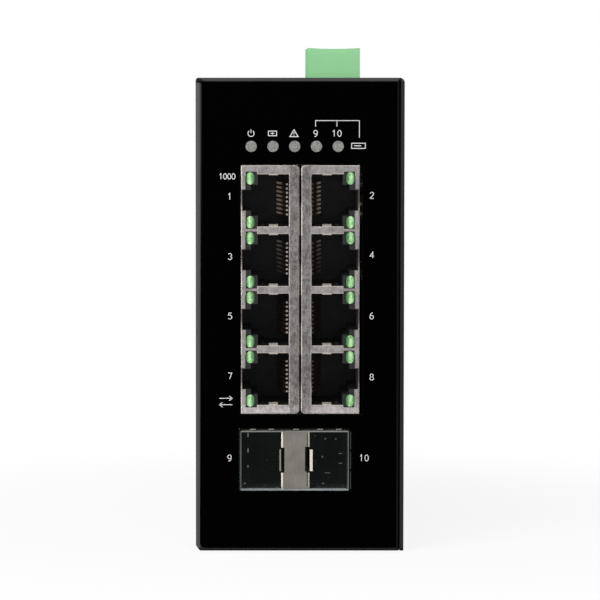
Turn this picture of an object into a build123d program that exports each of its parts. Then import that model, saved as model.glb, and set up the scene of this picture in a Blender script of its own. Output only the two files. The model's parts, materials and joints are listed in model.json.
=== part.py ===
from build123d import *
import copy
import os

# An eight-port DIN-rail Ethernet switch. The sizes below are in millimetres, in the frame of the case:
# x runs right from the left wall, y runs back from the front panel's metal and z runs up from the bottom.
# The last lines move every piece so that the origin lies under the middle of the whole object.

# Case; its height follows from the module cage, the jack rows and the lamps above them
case_w = 48.8
case_d = 88.0
sheet = 0.85
bend = 1.1
cover_t = 0.85
cover_drop = 0.05
cover_round = 1.05
rim_w = 8.0
rim_notch = 7.0
seam = 0.25
seam_depth = 0.5
corner_round = 0.7
corner_relief = 13.0
corner_cut_w = 1.05
corner_cut_h = 1.3
relief_in = 0.8
relief_w = 0.4
relief_long = 1.4
relief_d = 0.6
vent_w = 2.0
vent_long = 14.0
vent_pitch = 4.4
vent_count = 7
vent_row_share = 0.3
top_vent_long = 15.0
top_vent_count = 5
top_vent_share = 0.78

# Printed film on the front panel
film_t = 0.2
film_margin = 0.85
film_left_low = 0.95
film_left_high = 1.4
film_corner = 1.2

# Fasteners
thread_r = 1.5
hole_play = 0.05
head_r = 2.8
head_h = 1.7
head_round = 0.4
screw_long = 5.0
flush_head_r = 2.6
rim_screw_inset = 4.2

# Stacked cage for two optical modules
cage_w = 25.7
cage_low = 14.4
cage_h = 14.1
cage_d = 48.0
cage_t = 0.3
slot_w = 9.45
divider_w = 6.65
divider_t = 0.3
divider_front = 0.35
divider_fold = 0.5
divider_seam = 0.35
divider_bridge = 0.5
latch_notch_h = 6.0
latch_notch_d = 0.75
latch_h = 5.1
latch_t = 0.2
latch_long = 12.0
latch_lip = 0.72
latch_left_share = 0.6
latch_turn = 0.12
latch_lip_d = 1.6
latch_bend = 1.5
finger_w = 1.3
finger_t = 0.16
finger_rise = 0.42
finger_back = 3.0
finger_bow = 0.9
finger_tip = 0.2
finger_lift = 0.3
band_d = 3.0
finger_places = (3.1, 7.4, 13.2, 18.9, 23.2)
side_finger_count = 3
side_finger_w = 4.2
edge_slot_h = 9.4
edge_slot_w = 1.6
connector_d = 9.0
connector_w = 6.0
connector_h = 12.4
cage_hole_r = 0.75
cage_hole_depths = (0.35, 0.55, 0.75)
cage_hole_heights = (0.3, 0.7)

# Ganged jack blocks: two columns of stacked sockets
rows = 4
port_pitch = 13.97
jack_end = 1.235
jack_w = 13.7
jack_gap = 0.4
jack_above_cage = 3.95
jack_off_centre = 0.08
jack_d = 25.0
jack_proud = 0.1
shield_t = 0.3
shield_corner = 1.0
shield_edge = 0.28
window_bar = 1.75
window_edge = 0.16
window_inner = 2.46
fold_t = 0.28
fold_d = 2.4
fold_round = 0.9
lamp_bar = 0.61
lamp_zone_w = 2.6
edge_band = 1.17
notch_share = 0.664
notch_edge = 0.32
lip_d = 2.0
tab_x = 6.58
tab_w = 2.1
tab_t = 0.22
tab_overlap = 0.5
tab_dip = 0.12
tab_sag = 0.36
tab_sag_d = 2.0
tab_end = 0.14
tab_end_d = 3.6
cavity_d = 19.5
cavity_start = 3.95
rib_x = 4.9
rib_w = 0.6
rib_h = 0.35
rib_front = 3.0
step_x = 2.35
step_gap = 0.045
lamp_x = 2.21
lamp_w = 1.92
lamp_h = 2.85
lamp_inset = 1.56
lamp_long = 9.0
lamp_recess = 0.35
lamp_play = 0.12

# Spring contacts of a socket
contact_count = 8
contact_pitch = 1.016
contact_w = 0.44
contact_t = 0.3
contact_front = 6.5
contact_in = 0.17
contact_face = 0.35
contact_lead = 1.2
contact_turn = 0.25
contact_reach = 2.0
contact_back = 18.6
slot_depth = 1.1
slot_play = 0.3

# Clearances of the front cut-outs round the jacks and the cage
cut_gap = 0.22
cut_gap_right = 0.66
finger_gap = 0.68

# Status lamps, above the jacks
lamp_count = 5
pipe_pitch = 5.08
pipe_in = 2.4
pipe_above = 4.4
pipe_r = 1.3
pipe_play = 0.05
pipe_long = 5.7
holder_d = 5.5
holder_h = 6.5
holder_margin = 2.4
chip_side = 1.6
chip_t = 0.6
lamp_board_t = 1.0
top_room = 16.0

# Worked-out places of the front
cage_top = cage_low + cage_h
cage_mid = (cage_low + cage_top) / 2
jack_h = rows * port_pitch + 2 * jack_end
jack_low = cage_top + jack_above_cage
jack_top = jack_low + jack_h
jack_mid = case_w / 2 + jack_off_centre
jack_x = jack_mid - jack_gap / 2 - jack_w
jack_right = 2 * jack_mid - jack_x
pipe_x = jack_x + pipe_in
pipe_z = jack_top + pipe_above
case_h = pipe_z + top_room
window_h = port_pitch - window_bar
lamp_zone_h = port_pitch - lamp_bar
lamp_z = lamp_zone_h / 2 - lamp_inset
step_h = 2 * (lamp_z - lamp_h / 2 - step_gap)
notch_h = notch_share * step_h

# Boards and their supports
board_t = 1.6
board_gap = 0.9
board_behind_jack = 0.24
board_low = 5.0
board_below_top = 5.2
board_to_back = 4.9
support_r = 2.5
support_inset = 4.0
support_front_inset = 5.0
power_inset = 7.0
power_below_top = 2.7
power_h = 48.5
spacer_mid_below = 23.2
spacer_high_below = 17.2

# Pluggable terminal block, its row along the depth
poles = 6
pole_pitch = 5.08
plug_front = 24.0
plug_inset = 9.43
plug_w = 12.5
plug_top_above = 7.3
plug_seat_below = 1.4
plug_sag = 0.25
plug_chamfer = 0.4
tongue_inset = 0.9
tongue_w = 5.8
tongue_long = 8.2
plug_play = 0.3
plug_cut_gap = 0.6
header_wall = 1.1
header_floor = 4.0
pin_w = 1.0
pin_inset = 3.8
pin_top_below = 2.0
pin_out = 1.0
socket_w = 1.7
wire_w = 3.4
wire_inset = 3.9
clamp_w = 3.9
clamp_x = 4.8
clamp_z = 4.8
clamp_wall = 1.1
clamp_play = 0.15
clamp_below = 2.6
clamp_screw_r = 1.2
clamp_screw_in = 0.22
clamp_head_r = 1.7
clamp_head_h = 2.2
driver_hole_r = 1.85
driver_depth = 1.5
driver_slot_w = 0.6
driver_slot_d = 0.7

# Parts on the boards; the depths marked back are counted from the boards' back edge
chip_w = 20.0
chip_h = 1.5
chip_back = 22.25
chip_z = 50.0
sink_w = 24.0
sink_h = 9.0
sink_base = 2.0
sink_fin = 1.0
sink_count = 7
low_chips_at = ((34.0, 50.0, 9.0, 9.0), (60.0, 12.0, 7.0, 5.0))
high_chips_at = ((40.0, 13.2, 6.0, 8.0), (60.0, 19.2, 8.0, 6.0))
small_chip_h = 1.2
can_r = 4.0
can_h = 10.0
can_front = 58.0
can_low = 22.0
can_pitch = 9.0
can_count = 3
relay_w = 10.0
relay_long = 15.0
relay_h = 12.0
relay_back = 20.25
relay_below = 19.2
coil_w = 10.0
coil_h = 5.0
coil_core_r = 3.6
coil_core_h = 0.6
coil_y = 44.0
coil_above = 11.0
coil_pitch = 13.0
coil_count = 2
power_can_below = 25.2
power_can_count = 2
link_w = 0.64
link_pitch = 2.54
link_count = 4
link_socket_h = 8.5
link_back = 8.25
link_below = 31.2
link_margin = 0.7
link_out = 1.0

# DIN-rail clip on the back
rail_h = 35.0
rail_low = 40.5
rail_play = 0.3
lip_gap = 1.4
clip_t = 1.5
clip_w = 30.0
clip_below_rail = 18.5
clip_above_rail = 12.5
clip_hook_w = 8.0
clip_hook_x = 9.0
clip_hook_reach = 3.2
clip_screw_x = 12.0
clip_screw_inset = 4.5
catch_t = 1.2
catch_w = 14.0
catch_below_clip = 9.0
catch_reach = 2.6
catch_travel = 4.5
catch_play = 0.3
guide_w = 3.0
guide_h = 4.5
guide_t = 1.2
guide_steps = (0.5, 7.5)
pull_slot_w = 6.0
pull_slot_h = 2.4
spring_r = 1.5
spring_wire = 0.5
spring_turns = 5
spring_long = 8.0
spring_above_clip = 5.0
lug_t = 1.2
lug_w = 4.0
lug_play = 0.1

# Ground screw
ground_inset = 7.8
ground_below = 12.2
ground_r = 2.0
ground_head_r = 3.6
ground_head_h = 2.4
ground_head_round = 0.35
ground_long = 5.0
washer_r = 4.6
washer_t = 0.8

# How far a cutting shape runs past the face it cuts
past = 1.0

# Worked-out places
chassis_w = case_w - cover_t
chassis_mid = chassis_w / 2
board_face = jack_x - board_behind_jack
board_back = case_d - sheet - board_to_back
board_high = case_h - board_below_top
cage_right = board_face + cage_w
divider_left = board_face + cage_t + slot_w
divider_right = divider_left + divider_w
power_face = case_w - power_inset
power_high = case_h - power_below_top
power_low = power_high - power_h
spacer_mid = case_h - spacer_mid_below
spacer_high = case_h - spacer_high_below
plug_right = case_w - plug_inset
plug_left = plug_right - plug_w
tongue_left = plug_left + tongue_inset
tongue_right = tongue_left + tongue_w
pin_x = plug_left + pin_inset
wire_x = plug_left + wire_inset
plug_back = plug_front + poles * pole_pitch
plug_seat = case_h - plug_seat_below
plug_top = case_h + plug_top_above
tongue_low = plug_seat - tongue_long
header_top = plug_seat - plug_play
header_low = tongue_low - plug_play - header_floor
chip_y = board_back - chip_back
relay_y = board_back - relay_back
relay_z = case_h - relay_below
coil_z = power_low + coil_above
power_can_z = case_h - power_can_below
link_y = board_back - link_back
link_z = case_h - link_below
small_chips_at = low_chips_at + tuple((y, case_h - z, w, h) for y, z, w, h in high_chips_at)
back_face = case_d + clip_t
clip_mid = case_w / 2
clip_low = rail_low - clip_below_rail
clip_high = rail_low + rail_h + clip_above_rail
catch_low = clip_low - catch_below_clip
catch_face = back_face + catch_play
hook_face = back_face + lip_gap
spring_low = clip_low + spring_above_clip
ground_x = case_w - ground_inset
ground_z = case_h - ground_below

out = "parts"
pieces = {}


def block(x0, x1, y0, y1, z0, z1):
    """A block between two opposite corners."""
    return Pos((x0 + x1) / 2, (y0 + y1) / 2, (z0 + z1) / 2) * Box(x1 - x0, y1 - y0, z1 - z0)


def push(sketch, axis, start, end):
    """A flat shape in the two other axes, pushed along one axis from start to end."""
    plane, sign = {"x": (Plane.YZ, 1), "y": (Plane.XZ, -1), "z": (Plane.XY, 1)}[axis]
    return extrude(plane.offset(sign * start) * sketch, sign * (end - start))


def round_bar(axis, start, end, a, b, radius):
    """A round bar along one axis, centred on a and b in the two other axes."""
    return push(Pos(a, b) * Circle(radius), axis, start, end)


def rectangle(a0, a1, b0, b1, radius=0, corners=()):
    """A rectangle with the named corners rounded: each corner is (right, high) as true or false."""
    mid_a, mid_b = (a0 + a1) / 2, (b0 + b1) / 2
    face = Pos(mid_a, mid_b) * Rectangle(a1 - a0, b1 - b0)
    chosen = [v for v in face.vertices() if (v.X > mid_a, v.Y > mid_b) in corners]
    return fillet(chosen, radius) if chosen and radius > 0 else face


def outline(*points):
    """A closed flat shape through its corner points."""
    return make_face(Polyline(*points, close=True))


def strip(points, thickness):
    """The edge view of a bent strip: its middle line offset to both sides, mitred at each bend."""
    middle = [Vector(*p) for p in points]
    runs = [(b - a).normalized() for a, b in zip(middle, middle[1:])]
    left, right = [], []
    for i, p in enumerate(middle):
        before, after = runs[max(i - 1, 0)], runs[min(i, len(runs) - 1)]
        normal = Vector(-before.Y - after.Y, before.X + after.X)
        reach = normal * (thickness / (normal.dot(Vector(-before.Y, before.X)) * 2))
        left.append(p + reach)
        right.append(p - reach)
    return outline(*[(p.X, p.Y) for p in left + right[::-1]])


def slots(count, pitch, width, length, along_b=True):
    """A row of round-ended slots, centred on the origin and set side by side along the first axis."""
    turn = 90 if along_b else 0
    places = [(i - (count - 1) / 2) * pitch for i in range(count)]
    return Sketch() + [Pos(p, 0) * Rot(0, 0, turn) * SlotOverall(length, width) for p in places]


def port_height(row):
    """The middle height of a socket row, counted from the top."""
    return jack_low + jack_h / 2 + ((rows - 1) / 2 - row) * port_pitch


def to_right(piece):
    """The same piece turned over to the right-hand jack column."""
    return mirror(piece, Plane.YZ.offset(jack_mid))


def case_block(inset):
    """The case with its bent edges rounded, smaller by the inset on every side."""
    radius = bend - inset
    x0, x1 = inset, chassis_w - inset
    y0, y1 = inset, case_d - inset
    z0, z1 = inset, case_h - inset
    every = ((False, False), (True, False), (False, True), (True, True))
    plan = push(rectangle(x0, x1, y0, y1, radius, every), "z", z0, z1)
    side = push(rectangle(y0, y1, z0, z1, radius, every[::2]), "x", x0, x1)
    front = push(rectangle(x0, x1, z0, z1, corner_round - inset, ((True, False), (False, True))), "y", y0, y1)
    return plan & side & front


def jack_cutout():
    """The front cut-out that both jack columns show through."""
    return rectangle(jack_x - cut_gap, jack_right + cut_gap_right, jack_low - cut_gap, jack_top + cut_gap)


def cage_cutout():
    """The front cut-out of the module cage, wider where its fingers press."""
    x0, x1 = board_face - cut_gap, cage_right + finger_gap
    return rectangle(x0, x1, cage_low - cut_gap, cage_top + finger_gap)


def lamp_places():
    """The places of the round status lamps across the front."""
    return [Pos(pipe_x + i * pipe_pitch, pipe_z) for i in range(lamp_count)]


def rim_screws():
    """The places of the cover screws on the returns, as depth and height."""
    near, far = rim_screw_inset, case_d - rim_screw_inset
    third = case_d / 3
    low, high = rim_screw_inset, case_h - rim_screw_inset
    sides = [(near, case_h / 2), (far, case_h / 2)]
    return sides + [(y, z) for z in (low, high) for y in (third, 2 * third)]


def support_places():
    """The places of the main board's stand-offs, as depth and height."""
    front, back = sheet + board_gap + support_front_inset, board_back - support_front_inset
    low, high = board_low + support_inset, board_high - support_inset
    return [(front, low), (front, high), (back, low), (back, high)]


def spacer_places():
    """The places of the long spacers that carry the power board, as depth and height."""
    front, back = plug_front + 2 * support_inset, board_back - support_inset
    low = power_low + support_inset
    return [(front, low), (back, low), (front, spacer_mid), (back, spacer_high)]


def clip_screws():
    """The places of the rail bracket's screws, as across and height."""
    heights = (clip_low + clip_screw_inset, clip_high - clip_screw_inset)
    return [(clip_mid + side * clip_screw_x, z) for side in (-1, 1) for z in heights]


def chassis():
    """One folded sheet: front panel, left wall, top, bottom, back and the returns under the side cover."""
    body = case_block(0) - case_block(sheet)
    right = chassis_w - sheet
    window = rectangle(rim_w, case_d - rim_w, rim_w, case_h - rim_w)
    body -= push(window, "x", right - bend, chassis_w + bend)
    for y in (bend, case_d - bend - rim_notch):
        for z in (bend, case_h - bend - rim_notch):
            body -= block(right - bend / 2, chassis_w + bend, y, y + rim_notch, z, z + rim_notch)
    for z in (sheet, case_h - sheet - seam):
        body -= block(-bend, seam_depth, 2 * bend, case_d - 2 * bend, z, z + seam)
        body -= block(2 * bend, chassis_w - 2 * bend, case_d - seam_depth, case_d + bend, z, z + seam)
    lean = corner_cut_w / corner_cut_h
    cut = outline((-bend, corner_cut_h + bend / lean), (-bend, -bend), (corner_cut_w + bend * lean, -bend))
    body -= push(cut, "y", -bend, corner_relief)
    relief = Pos(relief_in, case_h - relief_in) * Rot(0, 0, -45) * SlotOverall(relief_long, relief_w)
    body -= push(relief, "y", -bend, relief_d)
    body -= push(jack_cutout(), "y", -bend, sheet + bend)
    body -= push(cage_cutout(), "y", -bend, sheet + bend)
    body -= push(Sketch() + [p * Circle(pipe_r + pipe_play) for p in lamp_places()], "y", -bend, sheet + bend)
    body -= push(plug_cutout(), "z", case_h - sheet - bend, case_h + bend)
    row = slots(top_vent_count, vent_pitch, vent_w, top_vent_long)
    vents = Pos(chassis_mid, case_d * top_vent_share) * row
    body -= push(vents, "z", case_h - sheet - bend, case_h + bend)
    vents = Pos(chassis_mid, case_d / 2) * slots(vent_count, vent_pitch, vent_w, vent_long)
    body -= push(vents, "z", -bend, sheet + bend)
    for y, z in rim_screws():
        body -= round_bar("x", right - bend, chassis_w + bend, y, z, thread_r + hole_play)
    for x, z in clip_screws():
        body -= round_bar("y", case_d - sheet - bend, case_d + bend, x, z, thread_r + hole_play)
    body -= round_bar("y", case_d - sheet - bend, case_d + bend, ground_x, ground_z, ground_r + hole_play)
    return body


def plug_cutout():
    """The hole in the top wall that the terminal plug stands in."""
    gap = plug_cut_gap
    return rectangle(plug_left - gap, plug_right + gap, plug_front - gap, plug_back + gap)


def side_cover():
    """The flat plate on the right, its upper edge rounded, with vent rows and countersunk holes."""
    every = ((False, False), (True, False), (False, True), (True, True))
    top = case_h - cover_drop
    plate = push(rectangle(0, case_d, 0, top, bend, every), "x", chassis_w, case_w)
    plate &= push(rectangle(chassis_mid, case_w, 0, top, cover_round, ((True, True),)), "y", 0, case_d)
    for z in (case_h * vent_row_share, case_h * (1 - vent_row_share)):
        row = Pos(case_d / 2, z) * slots(vent_count, 2 * vent_pitch, vent_w, vent_long)
        plate -= push(row, "x", chassis_w - bend, case_w + bend)
    for y, z in rim_screws():
        plate -= countersink(y, z, hole_play)
    return plate


def countersink(y, z, play):
    """The cone of a flush screw head, widest at the cover's outer face."""
    cone = Cone(thread_r + play, flush_head_r + play, cover_t)
    return Pos(chassis_w + cover_t / 2, y, z) * Rot(0, 90, 0) * cone


def cover_screws():
    """The flush screws of the side cover."""
    shank = [round_bar("x", case_w - screw_long, chassis_w, y, z, thread_r) for y, z in rim_screws()]
    return [s + countersink(y, z, 0) for s, (y, z) in zip(shank, rim_screws())]


def front_film():
    """The printed film on the panel, its lower left corner rounded, with its cut-outs."""
    right, top = chassis_w - film_margin, case_h - film_margin
    face = outline((film_left_low, film_margin), (right, film_margin), (right, top), (film_left_high, top))
    corner = face.vertices().sort_by(Axis.Y)[:2].sort_by(Axis.X)[:1]
    face = fillet(corner, film_corner) - jack_cutout() - cage_cutout()
    face -= [p * Circle(pipe_r + pipe_play) for p in lamp_places()]
    return push(face, "y", -film_t, 0)


def status_pipes():
    """The round light pipes, flush with the film."""
    return [push(p * Circle(pipe_r), "y", -film_t, pipe_long - film_t) for p in lamp_places()]


def pipe_holder():
    """The moulded strip behind the panel that holds the light pipes."""
    x0, x1 = board_face, pipe_x + (lamp_count - 1) * pipe_pitch + holder_margin
    body = block(x0, x1, sheet, sheet + holder_d, pipe_z - holder_h / 2, pipe_z + holder_h / 2)
    holes = Sketch() + [p * Circle(pipe_r + pipe_play) for p in lamp_places()]
    return body - push(holes, "y", 0, sheet + holder_d + bend)


def lamp_board():
    """The small board behind the light pipes, which stands on the main board."""
    front = sheet + holder_d
    x1 = pipe_x + (lamp_count - 1) * pipe_pitch + holder_margin
    half = holder_h / 2
    return block(board_face, x1, front, front + lamp_board_t, pipe_z - half, pipe_z + half)


def lamp_chips():
    """The lamp chips on the small board, one behind each pipe."""
    front = sheet + holder_d - chip_t
    return [push(p * Rectangle(chip_side, chip_side), "y", front, sheet + holder_d) for p in lamp_places()]


def port_window():
    """The opening of one socket in the shield, centred on its height: lamps, plug and latch."""
    inner = jack_x + jack_w - window_inner
    main = rectangle(jack_x + edge_band, inner, -window_h / 2, window_h / 2)
    lamps = rectangle(jack_x + edge_band, jack_x + edge_band + lamp_zone_w, -lamp_zone_h / 2, lamp_zone_h / 2)
    latch = rectangle(jack_x + notch_edge, jack_x + edge_band + lamp_zone_w, -notch_h / 2, notch_h / 2)
    return main + lamps + latch


def grounding_tab(z, side):
    """A spring tab folded from a window's edge into the socket; side is 1 at an upper edge."""
    front = -jack_proud
    mid = front + shield_t / 2
    path = [(mid, z + side * tab_overlap), (mid, z - side * tab_dip),
            (front + tab_sag_d, z - side * tab_sag), (front + tab_end_d, z - side * tab_end)]
    return push(strip(path, tab_t), "x", jack_x + tab_x, jack_x + tab_x + tab_w)


def jack_shield(outer_wall):
    """The formed shield of one column: front with four windows, folded sides, inner folds and tabs."""
    front, back = -jack_proud, jack_d
    x1 = jack_x + jack_w
    face = rectangle(jack_x, x1, jack_low, jack_top, shield_corner, ((True, False), (True, True)))
    body = push(face, "y", front, back)
    rim = body.faces().sort_by(Axis.Y)[0].edges()
    body = fillet(rim, shield_edge)
    inside = rectangle(jack_x + shield_t, x1 - shield_t, jack_low + shield_t, jack_top - shield_t,
                       shield_corner - shield_t, ((True, False), (True, True)))
    body -= push(inside, "y", front + shield_t, back + bend)
    if not outer_wall:
        body -= block(jack_x - bend, jack_x + shield_t, front + lip_d, back + bend, jack_low + shield_t,
                      jack_top - shield_t)
    for row in range(rows):
        z = port_height(row)
        window = Pos(0, z) * port_window()
        body -= push(window, "y", front - bend, front + shield_t)
        wider = offset(window, window_edge, kind=Kind.INTERSECTION)
        body -= push(wider, "y", front - bend, front + window_edge / 2)
        inner = x1 - window_inner
        fold = block(inner, inner + fold_t, front, front + fold_d, z - window_h / 2, z + window_h / 2)
        turned = fold.edges().filter_by(Axis.Z).sort_by(Axis.X)[:2].sort_by(Axis.Y)[:1]
        body += fillet(turned, fold_t * fold_round)
        for side in (-1, 1):
            body += grounding_tab(z + side * window_h / 2, side)
    return body


def jack_housing():
    """The moulded housing of one column: four stepped sockets, lamp pockets and contact grooves."""
    front = -jack_proud + shield_t
    x0, x1 = jack_x + shield_t, jack_x + jack_w - shield_t
    face = rectangle(x0, x1, jack_low + shield_t, jack_top - shield_t, shield_corner - shield_t,
                     ((True, False), (True, True)))
    body = push(face, "y", front, jack_d)
    inner = jack_x + jack_w - window_inner + fold_t
    for row in range(rows):
        z = port_height(row)
        main = rectangle(jack_x + cavity_start, inner, -window_h / 2, window_h / 2)
        step = rectangle(jack_x + step_x, jack_x + cavity_start + past, -step_h / 2, step_h / 2)
        notch = rectangle(jack_x + shield_t, jack_x + cavity_start + past, -notch_h / 2, notch_h / 2)
        body -= push(Pos(0, z) * (main + step + notch), "y", front - past, front + cavity_d)
        slot_h = (contact_count - 1) * contact_pitch + contact_w + 2 * slot_play
        body -= block(inner - past, inner + slot_depth, contact_front - slot_play, front + cavity_d,
                      z - slot_h / 2, z + slot_h / 2)
        for side in (-1, 1):
            wall = z + side * window_h / 2
            body += block(jack_x + rib_x, jack_x + rib_x + rib_w, front + rib_front, front + cavity_d,
                          *sorted((wall + side * shield_t, wall - side * rib_h)))
            body -= lamp_shape(z + side * lamp_z, lamp_play, front - past, front + lamp_long)
    return body


def lamp_shape(z, play, y0, y1):
    """An oval light pipe of a socket, or its pocket with play."""
    width, height = lamp_w + 2 * play, lamp_h + 2 * play
    oval = Pos(jack_x + lamp_x, z) * Rot(0, 0, 90) * SlotOverall(height, width)
    return push(oval, "y", y0, y1)


def port_lamps(row):
    """The two oval light pipes of one socket."""
    front = -jack_proud + lamp_recess
    end = -jack_proud + shield_t + lamp_long
    return [lamp_shape(port_height(row) + side * lamp_z, 0, front, end) for side in (-1, 1)]


def jack_contacts(row):
    """The eight folded spring contacts of one socket, in the groove beside the plug."""
    inner = jack_x + jack_w - window_inner + fold_t
    seat = inner + slot_depth - contact_t / 2
    end = -jack_proud + shield_t + cavity_d
    near = inner - fold_t - contact_in
    far = near - contact_face
    path = [(seat, end), (seat, contact_front + contact_lead), (near, contact_front), (far, contact_front),
            (far - contact_turn, contact_front + contact_turn), (far - contact_reach, contact_back)]
    wire = strip(path, contact_t)
    low = port_height(row) - (contact_count - 1) * contact_pitch / 2 - contact_w / 2
    return [push(wire, "z", low + i * contact_pitch, low + i * contact_pitch + contact_w)
            for i in range(contact_count)]


def cage_shell():
    """The folded shell of the stacked cage, open at the front, with vent holes in its outer wall."""
    body = block(board_face, cage_right, -jack_proud, cage_d, cage_low, cage_top)
    body -= block(board_face + cage_t, cage_right - cage_t, -bend, cage_d - cage_t,
                  cage_low + cage_t, cage_top - cage_t)
    for depth in cage_hole_depths:
        for height in cage_hole_heights:
            body -= round_bar("x", cage_right - 2 * cage_t, cage_right + cage_t, cage_d * depth,
                              cage_low + cage_h * height, cage_hole_r)
    return body


def cage_divider():
    """The folded channel between the two slots, its front notched for the latches."""
    x0, x1 = divider_left, divider_right
    front, back = divider_front, cage_d - cage_t
    z0, z1 = cage_low + cage_t, cage_top - cage_t
    rounded = ((False, False), (True, False))
    outer = push(rectangle(x0, x1, front, back, divider_fold, rounded), "z", z0, z1)
    inner = rectangle(x0 + divider_t, x1 - divider_t, front + divider_t, back + bend,
                      divider_fold - divider_t, rounded)
    body = outer - push(inner, "z", z0 - bend, z1 + bend)
    low, high = cage_mid - latch_notch_h / 2, cage_mid + latch_notch_h / 2
    for a, b in ((x0 - bend, x0 + latch_notch_d), (x1 - latch_notch_d, x1 + bend)):
        body -= block(a, b, front - bend, front + latch_long - latch_lip_d, low, high)
    groove = x1 - divider_t - divider_seam
    return body - block(groove, groove + divider_seam, front - bend, front + divider_t,
                        z0 + divider_bridge, z1 - divider_bridge)


def latch_spring(side):
    """A latch tongue in the divider's notch; side is -1 for the slot by the board and 1 for the other."""
    wall = divider_right if side > 0 else divider_left
    lie = wall - side * (divider_t + latch_t / 2)
    lip = latch_lip if side > 0 else latch_lip * latch_left_share
    front = divider_front
    path = [(lie, front + latch_long), (lie, front + latch_long - latch_bend * latch_lip_d),
            (wall, front + latch_lip_d), (wall + side * latch_turn, front + latch_t),
            (wall + side * lip, front)]
    return push(strip(path, latch_t), "z", cage_mid - latch_h / 2, cage_mid + latch_h / 2)


def cage_fingers():
    """The ring of grounding fingers round the cage, behind the front cut-out."""
    start = sheet + finger_back - jack_proud
    t = finger_t
    ring = block(board_face, cage_right + t, start, start + band_d, cage_low - t, cage_top + t)
    ring -= block(board_face - bend, cage_right, start - bend, start + band_d + bend, cage_low, cage_top)
    shape = [(start + t, t / 2), (start, t / 2), (sheet + finger_bow, finger_rise), (finger_tip, finger_lift)]
    for x in finger_places:
        for face, way in ((cage_top, 1), (cage_low, -1)):
            rise = finger_rise if way > 0 else cut_gap / 2
            path = [(y, face + way * min(h, rise)) for y, h in shape]
            ring += push(strip(path, t), "x", board_face + x - finger_w / 2, board_face + x + finger_w / 2)
    for i in range(side_finger_count):
        z = cage_low + (i + 0.5) * cage_h / side_finger_count
        path = [(cage_right + h, y) for y, h in shape]
        ring += push(strip(path, t), "z", z - side_finger_w / 2, z + side_finger_w / 2)
    return ring


def edge_connector(side):
    """The slotted connector at the back of one module slot."""
    x0 = board_face + cage_t if side < 0 else cage_right - cage_t - connector_w
    back = cage_d - cage_t
    mid = x0 + connector_w / 2
    low, high = cage_mid - connector_h / 2, cage_mid + connector_h / 2
    body = block(x0, x0 + connector_w, back - connector_d, back, low, high)
    return body - block(mid - edge_slot_w / 2, mid + edge_slot_w / 2, back - connector_d - past,
                        back - connector_d / 3, cage_mid - edge_slot_h / 2, cage_mid + edge_slot_h / 2)


def main_board():
    """The upright board on the left, with the holes of its stand-offs and spacers."""
    board = block(board_face - board_t, board_face, sheet + board_gap, board_back, board_low, board_high)
    for y, z in support_places() + spacer_places():
        board -= round_bar("x", board_face - 2 * board_t, board_face + board_t, y, z, thread_r + hole_play)
    return board


def power_board():
    """The second board on the right, which carries the terminal header."""
    board = block(power_face, power_face + board_t, header_front(), board_back, power_low, power_high)
    for y, z in spacer_places():
        board -= round_bar("x", power_face - board_t, power_face + 2 * board_t, y, z, thread_r + hole_play)
    for y in pole_places():
        board -= block(power_face - board_t, power_face + 2 * board_t, y - pin_w / 2, y + pin_w / 2,
                       pin_level(), pin_level() + pin_w)
    for y, z in link_places():
        board -= block(power_face - board_t, power_face + 2 * board_t, y - link_w / 2, y + link_w / 2,
                       z - link_w / 2, z + link_w / 2)
    return board


def board_supports():
    """The stand-offs between the left wall and the main board."""
    return [bored_post(sheet, board_face - board_t, y, z) for y, z in support_places()]


def power_spacers():
    """The long spacers between the two boards."""
    return [bored_post(board_face, power_face, y, z) for y, z in spacer_places()]


def bored_post(x0, x1, y, z):
    """A six-sided post with a threaded bore."""
    post = push(Pos(y, z) * RegularPolygon(support_r, 6), "x", x0, x1)
    return post - round_bar("x", x0, x1, y, z, thread_r + hole_play)


def pan_screw(base, way, y, z):
    """A pan-head screw along x; its head sits on the base and its shank goes against the way."""
    head = round_bar("x", *sorted((base, base + way * head_h)), y, z, head_r)
    head = fillet(head.faces().sort_by(Axis.X)[-1 if way > 0 else 0].edges(), head_h * head_round)
    return head + round_bar("x", *sorted((base, base - way * screw_long)), y, z, thread_r)


def board_screws():
    """The screws of the stand-offs and of both ends of the spacers."""
    screws = [pan_screw(board_face, 1, y, z) for y, z in support_places()]
    screws += [pan_screw(board_face - board_t, -1, y, z) for y, z in spacer_places()]
    return screws + [pan_screw(power_face + board_t, 1, y, z) for y, z in spacer_places()]


def switch_chip():
    """The large square chip on the main board."""
    half = chip_w / 2
    return block(board_face, board_face + chip_h, chip_y - half, chip_y + half, chip_z - half, chip_z + half)


def heat_sink():
    """The finned heat sink on the large chip, its fins upright."""
    half = sink_w / 2
    base = board_face + chip_h
    body = block(base, base + sink_h, chip_y - half, chip_y + half, chip_z - half, chip_z + half)
    gap = (sink_w - sink_count * sink_fin) / (sink_count - 1)
    for i in range(sink_count - 1):
        y = chip_y - half + sink_fin + i * (sink_fin + gap)
        body -= block(base + sink_base, base + sink_h + past, y, y + gap, chip_z - half - past,
                      chip_z + half + past)
    return body


def small_chips():
    """The smaller chips on the main board."""
    return [block(board_face, board_face + small_chip_h, y - w / 2, y + w / 2, z - h / 2, z + h / 2)
            for y, z, w, h in small_chips_at]


def capacitors():
    """The round capacitor cans on the main board."""
    return [round_bar("x", board_face, board_face + can_h, can_front + i * can_pitch, can_low, can_r)
            for i in range(can_count)]


def power_capacitors():
    """The round capacitor cans on the power board."""
    return [round_bar("x", power_face - can_h, power_face, coil_y + i * can_pitch, power_can_z, can_r)
            for i in range(power_can_count)]


def alarm_relay():
    """The sealed relay on the power board."""
    return block(power_face - relay_h, power_face, relay_y, relay_y + relay_w,
                 relay_z - relay_long / 2, relay_z + relay_long / 2)


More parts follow.
